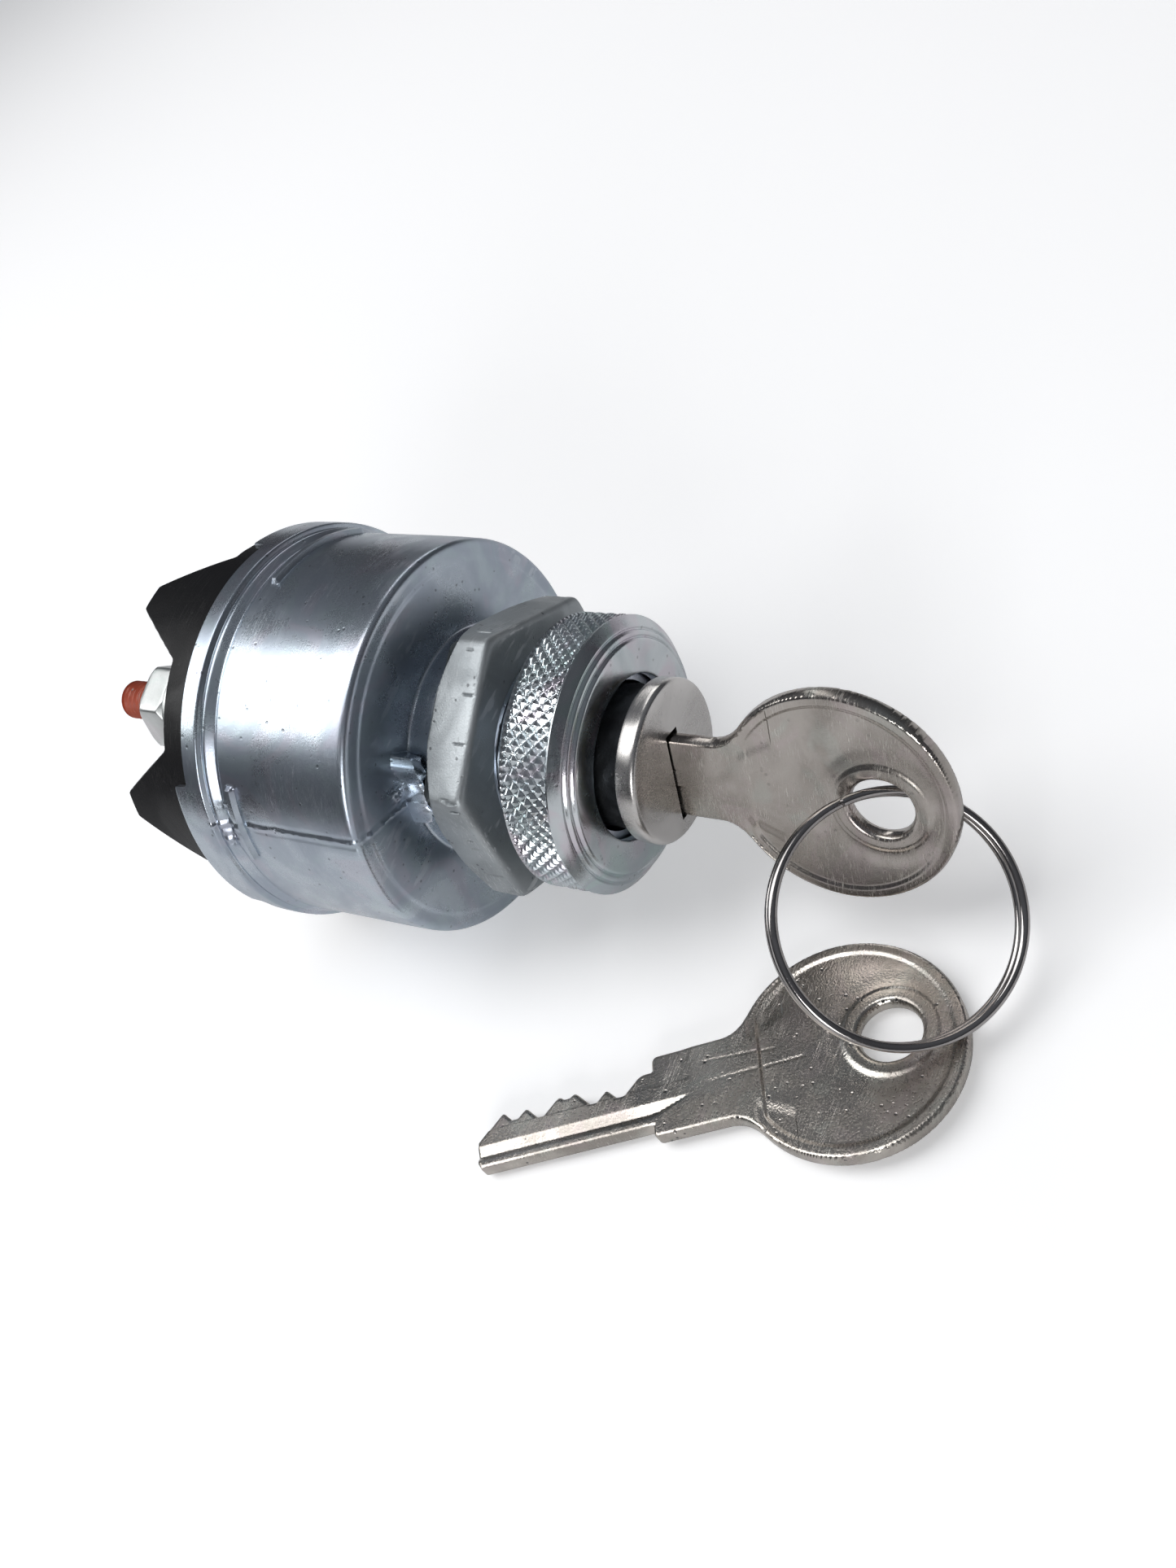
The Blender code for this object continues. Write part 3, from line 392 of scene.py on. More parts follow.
finishes = {
    "castZinc": {
        "metallic": 1.0, "dark": (0.40, 0.45, 0.52), "light": (0.55, 0.61, 0.67), "rough": (0.25, 0.32),
        "film": 0.12, "pits": 0.5, "scratches": 0.35, "grain": 0.35, "bump": 0.02, "ripple": 0.03,
        "scratch": (0.72, 0.76, 0.80)},
    "dullZinc": {
        "metallic": 0.85, "dark": (0.34, 0.365, 0.38), "light": (0.44, 0.47, 0.485), "rough": (0.42, 0.55),
        "pits": 0.6, "scratches": 0.5, "scratch": (0.85, 0.87, 0.88), "grain": 0.8, "bump": 0.04},
    "brightZinc": {
        "metallic": 1.0, "dark": (0.48, 0.53, 0.56), "light": (0.68, 0.72, 0.74), "rough": (0.18, 0.30),
        "film": 0.30, "pits": 0.35, "scratches": 0.25, "grain": 0.3, "bump": 0.02},
    # the lock barrel's zinc is coloured near black, darker than its own grey zinc: painted shade for the
    # recess inside the bezel's hole
    "lockZincPaintedShade": {
        "metallic": 0.9, "dark": (0.03, 0.032, 0.036), "light": (0.11, 0.12, 0.13), "rough": (0.35, 0.55),
        "pits": 0.9, "scratches": 0.2, "grain": 1.0, "bump": 0.05},
    "satinSteel": {
        "metallic": 1.0, "dark": (0.55, 0.53, 0.515), "light": (0.68, 0.66, 0.64), "rough": (0.20, 0.28),
        "pits": 0.1, "scratches": 0.35, "grain": 0.2, "bump": 0.01},
    "keyNickel": {
        "metallic": 1.0, "dark": (0.36, 0.33, 0.30), "light": (0.48, 0.445, 0.41), "rough": (0.19, 0.27),
        "film": 0.10, "pits": 0.25, "scratches": 0.6, "scratch": (0.80, 0.76, 0.71), "grain": 0.35,
        "grainSize": 4200.0, "bump": 0.014, "ripple": 0.04},
    "spareNickel": {
        "metallic": 1.0, "dark": (0.36, 0.33, 0.30), "light": (0.60, 0.56, 0.51), "rough": (0.18, 0.30),
        "film": 0.08, "pits": 0.9, "scratches": 0.35, "scratch": (0.85, 0.81, 0.76), "grain": 1.0,
        "grainSize": 4200.0, "bump": 0.034, "ripple": 0.03, "grainRough": 0.25},
    "ringChrome": {
        "metallic": 1.0, "dark": (0.30, 0.285, 0.28), "light": (0.44, 0.42, 0.41), "rough": (0.10, 0.18),
        "pits": 0.1, "scratches": 0.3, "grain": 0.2, "bump": 0.008},
    "blackPhenolic": {
        "metallic": 0.0, "dark": (0.004, 0.004, 0.005), "light": (0.009, 0.009, 0.010),
        "rough": (0.34, 0.48), "specular": 0.22, "pits": 0.2, "pit": (0.05, 0.05, 0.05), "scratches": 0.25,
        "scratch": (0.06, 0.06, 0.06), "grain": 0.6, "bump": 0.03},
    "platedSteel": {
        "metallic": 1.0, "dark": (0.55, 0.57, 0.56), "light": (0.74, 0.76, 0.75), "rough": (0.28, 0.42),
        "film": 0.15, "pits": 0.4, "scratches": 0.4, "grain": 0.5, "bump": 0.02},
    "redPaint": {
        "metallic": 0.0, "dark": (0.42, 0.075, 0.035), "light": (0.55, 0.12, 0.06), "rough": (0.35, 0.5),
        "pits": 0.7, "pit": (0.45, 0.42, 0.40), "scratches": 0.5, "scratch": (0.6, 0.45, 0.4),
        "grain": 0.6, "bump": 0.04},
    "turnedBrass": {
        "metallic": 1.0, "dark": (0.60, 0.44, 0.20), "light": (0.76, 0.60, 0.32), "rough": (0.22, 0.36),
        "pits": 0.2, "scratches": 0.4, "grain": 0.3, "bump": 0.01},
    "springSteel": {
        "metallic": 1.0, "dark": (0.34, 0.34, 0.34), "light": (0.48, 0.47, 0.46), "rough": (0.20, 0.34),
        "pits": 0.2, "scratches": 0.3, "grain": 0.3, "bump": 0.01},
    "brownPhenolic": {
        "metallic": 0.0, "dark": (0.07, 0.035, 0.018), "light": (0.13, 0.065, 0.035),
        "rough": (0.4, 0.55), "pits": 0.3, "scratches": 0.2, "grain": 0.6, "bump": 0.02},
    "greyFibre": {
        "metallic": 0.0, "dark": (0.13, 0.13, 0.13), "light": (0.22, 0.22, 0.21), "rough": (0.75, 0.9),
        "pits": 0.3, "scratches": 0.1, "grain": 1.0, "bump": 0.05},
}
finish = {name: makeFinish(name, look) for name, look in finishes.items()}
print("finishes made")


housing = {
    "neckRadius": 11.1, "neckBore": 8.7, "neckFront": -9.9, "threadPitch": 1.27, "threadDepth": 0.62,
    "collarRadius": 13.7, "collarFront": 6.3, "canFront": 10.6, "canRadius": 24.4, "shoulderRadius": 24.15,
    "shoulderRound": 2.6, "bandStart": 28.7, "rimFront": 32.1, "rimRadius": 25.7, "rimBack": 34.4,
    "tabBack": 36.6, "wall": 2.0, "seams": (156, 336), "tabs": (168, 288, 48), "tabSpan": 46,
    "ribs": ((46, 85), (144, 168)), "ribStation": 28.5, "ribHeight": 0.62,
    "lug": (133, 168), "lugOuter": 16.6, "lugHeight": 2.7, "ripple": 0.018,
    "faceFlat": 21.6, "faceEdge": 22.0, "faceRise": 0.12, "frontInside": 13.4, "gasketSeat": 31.7,
    "wallEnd": 27.4, "rimFoot": 25.0, "rimInside": 24.9,
    "seamWidth": 0.20, "seamDip": 0.05, "seamDipAt": 0.55, "seamDipWidth": 0.22,
    "flash": ((162, 30.6, 0.42, 1.1), (156, 27.0, 0.22, 0.8), (150, 29.9, 0.3, 0.8)),
    "spatterAngle": 150, "spatterRadius": 16.3, "spatterHeight": 0.5, "spatterWidth": 0.8}


def housingSkin(degrees, radius, station):
    h = housing
    out = h["ripple"] * unevenness(degrees, station, 14, 9, 3) * (station > h["collarFront"])
    onThread = (radius < h["neckRadius"] + 0.1) & (radius > h["neckRadius"] - 0.3)
    onThread = onThread & (station < h["collarFront"] - 0.4)
    out = out + threadCut(degrees, station, h["threadPitch"], h["threadDepth"]) * onThread
    outside = (radius > h["collarRadius"] - 0.2) & (station < h["rimFront"] + 0.2)
    for seam in h["seams"]:
        away = np.abs(arcFrom(degrees, seam, radius))
        wander = 0.10 * np.sin(station * 0.9) + 0.06 * np.sin(station * 2.3 + radius)
        ragged = 0.10 + 0.07 * np.sin(station * 3.1 + radius * 2.2) * np.sin(station * 1.3 + radius)
        ragged = ragged * (1 + 1.2 * (radius < h["shoulderRadius"] - 1.5) * (1 + np.sin(radius * 6.1)))
        line = np.exp(-((away - wander) / h["seamWidth"]) ** 2)
        out = out + outside * ragged * line
        dip = np.exp(-((away - h["seamDipAt"]) / h["seamDipWidth"]) ** 2)
        out = out - outside * h["seamDip"] * dip
    for rib in h["ribs"]:
        ends = arcInside(degrees, rib, radius)
        level = np.abs(station - h["ribStation"])
        shape = fade(ends, -0.1, 0.5) * (1 - fade(level, 0.30, 0.62))
        onWall = (radius > h["shoulderRadius"] - 0.3) & (station > h["canFront"] + 3)
        out = out + h["ribHeight"] * shape * onWall
    # ragged flash where the parting line leaves the wall: angle, station, height and spread
    for angle, where, size, spread in h["flash"]:
        away = np.hypot(arcFrom(degrees, angle, radius), (station - where) * 1.2)
        rough = 0.6 + 0.4 * np.sin(station * 5 + degrees * 0.9) * np.sin(degrees * 1.7 - station * 4)
        onWall = (radius > h["shoulderRadius"] - 0.3) & (station < h["rimFront"] - 0.1)
        out = out + size * rough * np.exp(-(away / spread) ** 2) * onWall
    onFace = (np.abs(station - h["canFront"]) < 0.25) & (radius > h["collarRadius"] + 0.2)
    ends = arcInside(degrees, h["lug"], radius)
    outer = h["lugOuter"] - 1.5 * fade(degrees, h["lug"][0] + 4, h["lug"][0] + 14)
    lug = fade(ends, -0.05, 0.35) * (1 - fade(radius, outer - 0.3, outer))
    lugTop = h["lugHeight"] * (1 - 0.12 * np.sin(degrees * 0.6 + radius))
    out = out + lugTop * lug * onFace
    # a crumb of metal left beside the lug
    away = np.hypot(arcFrom(degrees, h["spatterAngle"], radius), radius - h["spatterRadius"])
    ragged = 0.5 + 0.5 * np.sin(degrees * 2.1 + radius * 5) * np.sin(radius * 7 - degrees)
    return out + h["spatterHeight"] * ragged * np.exp(-(away / h["spatterWidth"]) ** 2) * onFace


# Pulls the rim's back edge in between the crimp tabs
def trimTabs(degrees, wide, deep):
    h = housing
    away = np.min([np.abs(turnFrom(degrees, tab)) for tab in h["tabs"]], axis=0)
    shown = 1 - fade(away, h["tabSpan"] / 2 - 0.6, h["tabSpan"] / 2 + 0.2)
    past = np.clip(deep - h["rimBack"], 0, None)
    return np.where(wide > h["rimRadius"] - 1.2, deep - past * (1 - shown), deep)


def makeHousing():
    h = housing
    inner = h["shoulderRadius"] - h["wall"]
    corners = [
        (h["neckBore"], h["neckFront"], 0, 1.0), (h["neckRadius"] - 0.5, h["neckFront"], 0, 0.3),
        (h["neckRadius"], h["neckFront"] + 0.5, 0, 0.14), (h["neckRadius"], h["collarFront"], 0.1, 0.5),
        (h["collarRadius"], h["collarFront"], 0.5, 0.4), (h["collarRadius"], h["canFront"], 0.5, 0.22),
        (18.5, h["canFront"], 0, 0.4), (h["faceFlat"], h["canFront"], 0.3, 0.3),
        (h["faceEdge"], h["canFront"] + h["faceRise"], 0.3, 0.3),
        (h["shoulderRadius"] - 0.15, h["canFront"] + h["faceRise"], h["shoulderRound"], 0.3),
        (h["shoulderRadius"], h["canFront"] + 3.6, 0.4, 0.32),
        (h["canRadius"], h["wallEnd"], 0, 0.15), (h["canRadius"] + 0.05, h["bandStart"] + 1.2, 0.2, 0.15),
        (h["canRadius"] - 0.1, h["bandStart"] + 1.55, 0.15, 0.2),
        (h["rimFoot"] + 0.05, h["rimFront"] - 0.75, 0.2, 0.15),
        (h["rimFoot"], h["rimFront"] - 0.25, 0.1, 0.15),
        (h["rimRadius"] - 0.05, h["rimFront"], 0.25, 0.4), (h["rimRadius"], h["rimBack"] - 0.2, 0.1, 0.2),
        (h["rimRadius"], h["tabBack"], 0.25, 0.4), (h["rimInside"], h["tabBack"], 0.2, 0.6),
        (h["rimInside"], h["gasketSeat"], 0, 1.0), (inner, h["gasketSeat"], 0, 2.0),
        (inner, h["frontInside"], 0.5, 2.0), (h["neckBore"], h["frontInside"], 0, 2.0)]
    made = turnedPiece("switch_housing", corners, 720, [finish["castZinc"]], housingSkin, trimTabs)
    stand(made, switchBody, "zinc_casting", "housing")


# A nick's least and most are its angle, station, length and depth
hexNut = {
    "corner": 27, "across": 31.75, "back": 6.0, "chamfer": 2.0, "bore": 11.45, "ripple": 0.015,
    "nicks": 46, "nickLeast": (0, 1.3, 0.4, 0.08), "nickMost": (360, 2.4, 1.3, 0.2), "nickWidth": 0.12,
    "sawAngle": 206.5, "sawDepth": 0.4, "sawWidth": 0.16, "sawStart": (2.2, 2.7)}


def hexNutSkin(degrees, radius, station):
    h = hexNut
    out = h["ripple"] * unevenness(degrees, station, 16, 20, 5)
    onFlat = radius > h["across"] / 2 - 0.9
    pick = np.random.default_rng(12)
    # short nicks left across the flats by a spanner, and a saw cut at one corner
    for _ in range(h["nicks"]):
        angle, level, length, depth = pick.uniform(h["nickLeast"], h["nickMost"])
        away = arcFrom(degrees, angle, radius)
        along = np.abs(station - level) / length
        out = out - depth * np.exp(-(away / h["nickWidth"]) ** 2) * (1 - fade(along, 0.6, 1.0)) * onFlat
    away = arcFrom(degrees, h["sawAngle"], radius)
    return out - h["sawDepth"] * np.exp(-(away / h["sawWidth"]) ** 2) * fade(station, *h["sawStart"]) * onFlat


def makeHexNut():
    h = hexNut
    flat = h["across"] / 2
    corners = [
        (h["bore"], 0.0, 0.3, 0.5), (flat, 0.0, 0.9, 0.12), (flat, h["back"], 0.35, 0.15),
        (h["bore"], h["back"], 0.3, 0.4)]
    bend = hexagonWith(h["across"], h["bore"], h["corner"], [(h["back"], h["chamfer"])])
    made = turnedPiece("jam_nut", corners, 1080, [finish["dullZinc"]], hexNutSkin, None, (0, 0), bend)
    stand(made, switchBody, "cast_nut", "hex_jam_nut")


# A front step is its radius, how far it stands in front of the knurl, its rounding and row spacing
bezel = {
    "radius": 16.0, "back": -3.76, "front": -10.0, "face": -11.8, "hole": 9.55, "bore": 11.45,
    "teeth": 64, "rowPitch": 1.55, "knurlDepth": 0.48, "ripple": 0.012,
    "frontSteps": (
        (14.75, 1.0, 0.15, 0.3), (14.45, 0.85, 0.15, 0.2), (14.25, 1.35, 0.2, 0.2),
        (13.85, 1.45, 0.2, 0.2), (13.6, 1.3, 0.1, 0.2))}


def knurl(degrees, radius, station):
    b = bezel
    around = degrees / 360 * b["teeth"]
    along = (station - b["front"]) / b["rowPitch"]
    first = np.abs(((around + along) % 1) * 2 - 1)
    second = np.abs(((around - along) % 1) * 2 - 1)
    pyramid = np.minimum(first, second) / 0.85
    room = np.minimum(station - b["front"] - 0.25, b["back"] - 0.35 - station)
    worn = 0.92 + 0.08 * unevenness(degrees, station, 8, 30, 8)
    cut = -b["knurlDepth"] * (1 - np.clip(pyramid, 0, 1)) * fade(room, -0.05, 0.15) * worn
    onKnurl = radius > b["radius"] - 0.05
    face = b["ripple"] * unevenness(degrees, station, 14, 14, 11)
    return np.where(onKnurl, cut, face)


def makeBezel():
    b = bezel
    corners = [
        (b["bore"], b["back"], 0.2, 0.6), (b["radius"] - 0.25, b["back"], 0, 0.2),
        (b["radius"], b["back"] - 0.25, 0, 0.125), (b["radius"], b["front"], 0, 0.3)]
    for radius, ahead, rounding, spacing in b["frontSteps"]:
        corners.append((radius, b["front"] - ahead, rounding, spacing))
    corners += [
        (13.35, b["face"], 0.25, 0.35), (b["hole"], b["face"], 0.35, 0.3),
        (b["hole"], b["face"] + 1.5, 0.2, 0.5), (b["bore"], b["face"] + 1.6, 0.1, 0.5)]
    made = turnedPiece("knurled_bezel_nut", corners, 1024, [finish["brightZinc"]], knurl)
    stand(made, switchBody, "bright_zinc", "bezel_nut")


# The relief is the stretch where the barrel is bored wider round the wafers
lock = {
    "keyAngle": 21.1, "keyOffset": 1.8, "shell": 8.3, "shellFront": -13.9, "shellBack": 12.6,
    "shellInside": 7.2, "relief": (-10.5, 4.9), "reliefDepth": 0.6, "sideSlot": 205,
    "capRadius": 9.4, "capFront": -16.65, "capBack": -14.2, "capRound": 1.15, "capWall": 0.7,
    "capFlat": 8.0, "axisHole": 0.02, "slot": (2.5, 4.0, 11.0), "slotShift": 0.2}
leaning = math.radians(lock["keyAngle"])
keyUp = np.array([math.sin(leaning), 0, math.cos(leaning)])


def shellSkin(degrees, radius, station):
    rough = 0.05 * unevenness(degrees, station * 3, 18, 24, 21)
    slot = np.exp(-(arcFrom(degrees, lock["sideSlot"], radius) / 0.9) ** 4)
    return (rough - 0.4 * slot) * (station < -9) * (radius > 8)


def makeShell():
    start, stop = lock["relief"]
    inside, outside = lock["shellInside"], lock["shell"]
    wider = inside + lock["reliefDepth"]
    corners = [
        (inside, lock["shellFront"], 0.1, 0.5), (outside, lock["shellFront"], 0.25, 0.3),
        (outside, -9.0, 0, 1.5), (outside, lock["shellBack"], 0, 1.0), (inside, lock["shellBack"], 0, 2.0),
        (inside, stop, 0, 1.0), (wider, stop, 0, 2.0), (wider, start, 0, 1.0), (inside, start, 0, 2.0)]
    # the barrel takes the near-black zinc, painted shade for the hole in the bezel
    made = turnedPiece("lock_barrel", corners, 240, [finish["lockZincPaintedShade"]], shellSkin)
    stand(made, switchBody, "zinc_casting", "lock_shell")


# Cuts a box, leaning by turn about the lock's axis, out of a piece
def cutWith(target, size, centre, turn):
    data = bpy.data.meshes.new("slot_tool")
    corners = [Vector((x, y, z)) for x in (-1, 1) for y in (-1, 1) for z in (-1, 1)]
    spin = Matrix.Rotation(turn, 3, "Y")
    points = [spin @ Vector([c * s / 2 * mm for c, s in zip(corner, size)]) for corner in corners]
    faces = [(0, 1, 3, 2), (4, 6, 7, 5), (0, 4, 5, 1), (2, 3, 7, 6), (0, 2, 6, 4), (1, 5, 7, 3)]
    data.from_pydata([p + Vector(centre) * mm for p in points], [], faces)
    tool = bpy.data.objects.new("slot_tool", data)
    bpy.context.scene.collection.objects.link(tool)
    change = target.modifiers.new("slot", "BOOLEAN")
    change.operation = "DIFFERENCE"
    change.solver = "EXACT"
    change.object = tool
    bpy.context.view_layer.update()
    graph = bpy.context.evaluated_depsgraph_get()
    cut = bpy.data.meshes.new_from_object(target.evaluated_get(graph))
    target.modifiers.clear()
    target.data = cut
    bpy.data.objects.remove(tool, do_unlink=True)


def makeCap():
    middle, front, edge = lock["axisHole"], lock["capFront"], lock["capRadius"]
    inside, behind = edge - lock["capWall"], front + lock["capWall"]
    corners = [
        (middle, front, 0, 0.5), (lock["capFlat"], front, 0.3, 0.3),
        (edge, front + 0.12, lock["capRound"], 0.3), (edge, lock["capBack"], 0.15, 0.3),
        (inside, lock["capBack"], 0.1, 0.4),
        (inside, behind, 0.4, 0.8), (middle, behind, 0, 0.3)]
    made = turnedPiece("stainless_cap", corners, 240, [finish["satinSteel"]])
    slotMiddle = -keyUp * (lock["keyOffset"] - lock["slotShift"])
    cutWith(made, lock["slot"], (slotMiddle[0], front, slotMiddle[2]), leaning)
    made.data.shade_smooth()
    made.data.set_sharp_from_angle(angle=math.radians(35))
    stand(made, turningBody, "stainless", "face_cap")


# A key lies flat in x (towards its tip) and y (towards its cuts), from the centre of its bow

# A tip face is its lean along x, its lean along y and how far it is set back.
# A scratch is its two ends and its width.
key = {
    "bowStation": -35.46, "half": 1.0, "bow": 12.75, "hole": (-4.7, 0.4), "holeRadius": 3.4,
    "neck": (-5.3, 4.9), "neckFillet": 2.4,
    "shoulder": 22.5, "cornerRound": 0.7, "blade": (-3.9, 3.0), "tip": 44.8,
    "tipTop": (0.72, 0.69, 3.4), "tipLow": (0.85, 0.53, 0.55),
    "cuts": (2.1, 2.0, 0.5, 1.9, 1.4), "firstCut": 26.5, "cutPitch": 3.4, "cutFloor": 0.8, "cutSlope": 0.7071,
    "edge": 0.42, "rim": 1.25, "field": 0.17, "fieldEnd": 9.6, "dish": 0.05, "dishRadius": 11,
    "boss": (1.45, 2.1), "bossDrop": 0.03, "dimple": 0.05, "dimpleAt": 2.7, "dimpleWidth": 0.9,
    "flare": 0.30, "flareWidth": 0.75, "facet": 0.10, "facetCorner": (8.3, 4.7),
    "groove": 0.42, "grooveTop": -1.1, "grooveFloor": (-1.15, -2.2), "grooveFoot": (-1.2, -2.95),
    "grooveRunOut": (17.2, 23.0), "step": 0.12, "stepEdge": (0.78, 0.92), "stepStart": (17.4, 19.0),
    "meshArea": ((-13.2, -13.2), (45.4, 13.2)), "meshCell": 0.15, "scratchDepth": 0.04,
    "scratches": (
        ((16.2, -0.2), (4.3, 0.1), 0.2), ((16.8, 2.5), (7.5, 1.9), 0.16), ((9.5, 4.0), (9.4, -3.8), 0.3))}


def keyOutline(x, y):
    k = key
    bow = np.hypot(x, y) - k["bow"]
    soft = k["cornerRound"]
    neckLow, neckHigh = k["neck"]
    neck = boxDistance(x, y, (0, neckLow + soft), (k["shoulder"] - soft, neckHigh - soft)) - soft
    body = blendDistances(bow, neck, k["neckFillet"])
    bladeLow, bladeHigh = k["blade"]
    blade = boxDistance(x, y, (k["shoulder"] - 3, bladeLow), (k["tip"], bladeHigh))
    alongLean, acrossLean, setback = k["tipTop"]
    tipTop = (x - k["tip"]) * alongLean + (y - bladeHigh + setback) * acrossLean
    alongLean, acrossLean, setback = k["tipLow"]
    tipLow = (x - k["tip"]) * alongLean - (y - bladeLow) * acrossLean + setback
    blade = np.maximum(blade, np.maximum(tipTop, tipLow))
    for number, depth in enumerate(k["cuts"]):
        middle = k["firstCut"] + number * k["cutPitch"]
        sideways = np.abs(x - middle) - k["cutFloor"] / 2
        level = bladeHigh - depth
        notch = np.maximum(level - y, (level - y + sideways) * k["cutSlope"])
        blade = -blendDistances(-blade, notch, 0.5)
    whole = np.minimum(body, blade)
    hole = k["holeRadius"] - np.hypot(x - k["hole"][0], y - k["hole"][1])
    return np.maximum(whole, hole)


def keyFace(x, y, depth):
    k = key
    edge = np.clip(1 - depth / k["edge"], 0, 1)
    height = k["half"] - k["edge"] * (1 - np.sqrt(np.clip(1 - edge ** 2, 0, 1)))
    bowDepth = k["bow"] - np.hypot(x, y)
    fromHole = np.hypot(x - k["hole"][0], y - k["hole"][1]) - k["holeRadius"]
    # stamped field of the bow, dished, with a boss round the hole
    inField = fade(bowDepth, k["rim"] - 0.15, k["rim"] + 0.45)
    inField = inField * (1 - fade(x, k["fieldEnd"] - 0.1, k["fieldEnd"] + 0.25))
    dished = k["dish"] * np.clip(1 - np.hypot(x, y) / k["dishRadius"], 0, 1)
    boss = 1 - fade(fromHole, *k["boss"])
    dimple = np.exp(-((fromHole - k["dimpleAt"]) / k["dimpleWidth"]) ** 2) * k["dimple"]
    height = height - inField * ((k["field"] + dished) * (1 - boss) + dimple)
    height = height - boss * inField * k["bossDrop"]
    flare = np.clip(1 - fromHole / k["flareWidth"], 0, 1) * (fromHole > -0.3)
    height = height - k["flare"] * flare ** 2
    # facets at the corners where the bow's field meets the neck
    cornerX, cornerY = k["facetCorner"]
    for side in (-1, 1):
        corner = (x - cornerX) * 0.45 + side * (y - side * cornerY) * 0.9
        facet = fade(corner, -0.3, 1.2) * fade(k["fieldEnd"] + 1.4 - x, 0, 0.6) * (x > 6.5)
        height = height - k["facet"] * facet * (depth > 0.5)
    # milled groove along the blade, run out towards the bow, and a shallow step above it
    runOut = fade(x, *k["grooveRunOut"])
    top = k["grooveTop"]
    floor = k["grooveFloor"][0] + (k["grooveFloor"][1] - k["grooveFloor"][0]) * runOut
    foot = k["grooveFoot"][0] + (k["grooveFoot"][1] - k["grooveFoot"][0]) * runOut
    slope = np.clip((top - y) / np.maximum(top - floor, 0.05), 0, 1)
    rise = np.clip((y - foot) / np.maximum(floor - foot, 0.05), 0, 1)
    groove = np.minimum(slope, rise) * runOut
    height = height - k["groove"] * groove
    step = fade(y, *k["stepEdge"]) * fade(x, *k["stepStart"])
    return height - k["step"] * step * (depth > 0.05)


# The spare also has two long scratches across its neck and a line at the end of the stamped field
def spareFace(x, y, depth):
    height = keyFace(x, y, depth)
    for (startX, startY), (endX, endY), wide in key["scratches"]:
        length = math.hypot(endX - startX, endY - startY)
        alongX, alongY = (endX - startX) / length, (endY - startY) / length
        along = (x - startX) * alongX + (y - startY) * alongY
        away = np.abs((y - startY) * alongX - (x - startX) * alongY)
        line = (1 - fade(away, 0.3 * wide, wide)) * fade(along, 0, 1)
        height = height - key["scratchDepth"] * line * (1 - fade(along, length - 1, length))
    return height


def makeKey(name, node, body, face, xAxis, yAxis, centre, material):
    axes = np.array([xAxis, yAxis, np.cross(xAxis, yAxis)])
    low, high = key["meshArea"]
    points, faces = reliefPlate(
        keyOutline, low, high, key["meshCell"], face, lambda x, y, depth: -face(x, y, depth))
    made = finishMesh(name, points @ axes + np.array(centre), faces, [material], 30)
    stand(made, body, "nickel", node)


spare = {"bow": (-21.0, -38.75, -18.86), "tip": (-0.460, 0.8845, -0.0775), "face": (0.0665, 0.1213, 0.9904)}


def makeKeys():
    bowCentre = np.array([0, key["bowStation"], 0]) - keyUp * lock["keyOffset"]
    makeKey(
        "lock_key", "key_in_lock", "lock_key", keyFace, np.array([0, 1, 0]), -keyUp, bowCentre,
        finish["keyNickel"])
    tip = np.array(spare["tip"]) / np.linalg.norm(spare["tip"])
    side = np.cross(tip, spare["face"])
    side /= np.linalg.norm(side)
    makeKey("second_key", "spare_key", "spare", spareFace, tip, side, spare["bow"], finish["spareNickel"])


ring = {
    "centre": (-10.46, -43.27, -7.53), "normal": (-0.288, -0.564, 0.774), "start": (0.600, 0.523, 0.605),
    "radius": 12.85, "wire": 0.52, "pitch": 1.2, "turns": 2, "pointsPerTurn": 120}


def makeRing():
    r = ring
    normal = Vector(r["normal"]).normalized()
    sideways = normal.cross(Vector(r["start"])).normalized()
    first = sideways.cross(normal)
    curve = bpy.data.curves.new("key_ring", "CURVE")
    curve.dimensions = "3D"
    curve.bevel_depth = r["wire"] * mm
    curve.bevel_resolution = 6
    curve.use_fill_caps = True
    spline = curve.splines.new("POLY")
    each = r["pointsPerTurn"]
    spline.points.add(r["turns"] * each)
    for i, point in enumerate(spline.points):
        turn = 2 * math.pi * i / each
        rise = (i / each - r["turns"] / 2) * r["pitch"]
        spot = Vector(r["centre"]) + r["radius"] * (math.cos(turn) * first + math.sin(turn) * sideways)
        point.co = (*((spot + normal * rise) * mm), 1)
    curve.materials.append(finish["ringChrome"])
    made = bpy.data.objects.new("key_ring", curve)
    bpy.context.scene.collection.objects.link(made)
    stand(made, "ring", "ring_wire", "split_ring")


base = {
    "radius": 24.6, "front": 32.8, "floor": 39.0, "ridge": 8.4, "land": 1.7, "foot": 7.8, "ridgeEnd": (4, 7),
    "bay": 124, "bayHalf": 31.5, "terminals": 5, "circle": 17.0, "seat": 5.2, "seatHeight": 1.6,
    "bayRadius": 6.9, "well": 8.5, "softEdge": 0.3, "meshHalf": 25.2, "meshCell": 0.28}
restAngle = (360 - 2 * base["bayHalf"]) / (base["terminals"] - 1)
ridgeAngles = [base["bay"] + base["bayHalf"] + restAngle * i for i in range(base["terminals"])]
bayAngles = [base["bay"]] + [angle + restAngle / 2 for angle in ridgeAngles[:-1]]


def aroundCircle(angle):
    turn = math.radians(angle)
    return base["circle"] * math.cos(turn), base["circle"] * math.sin(turn)


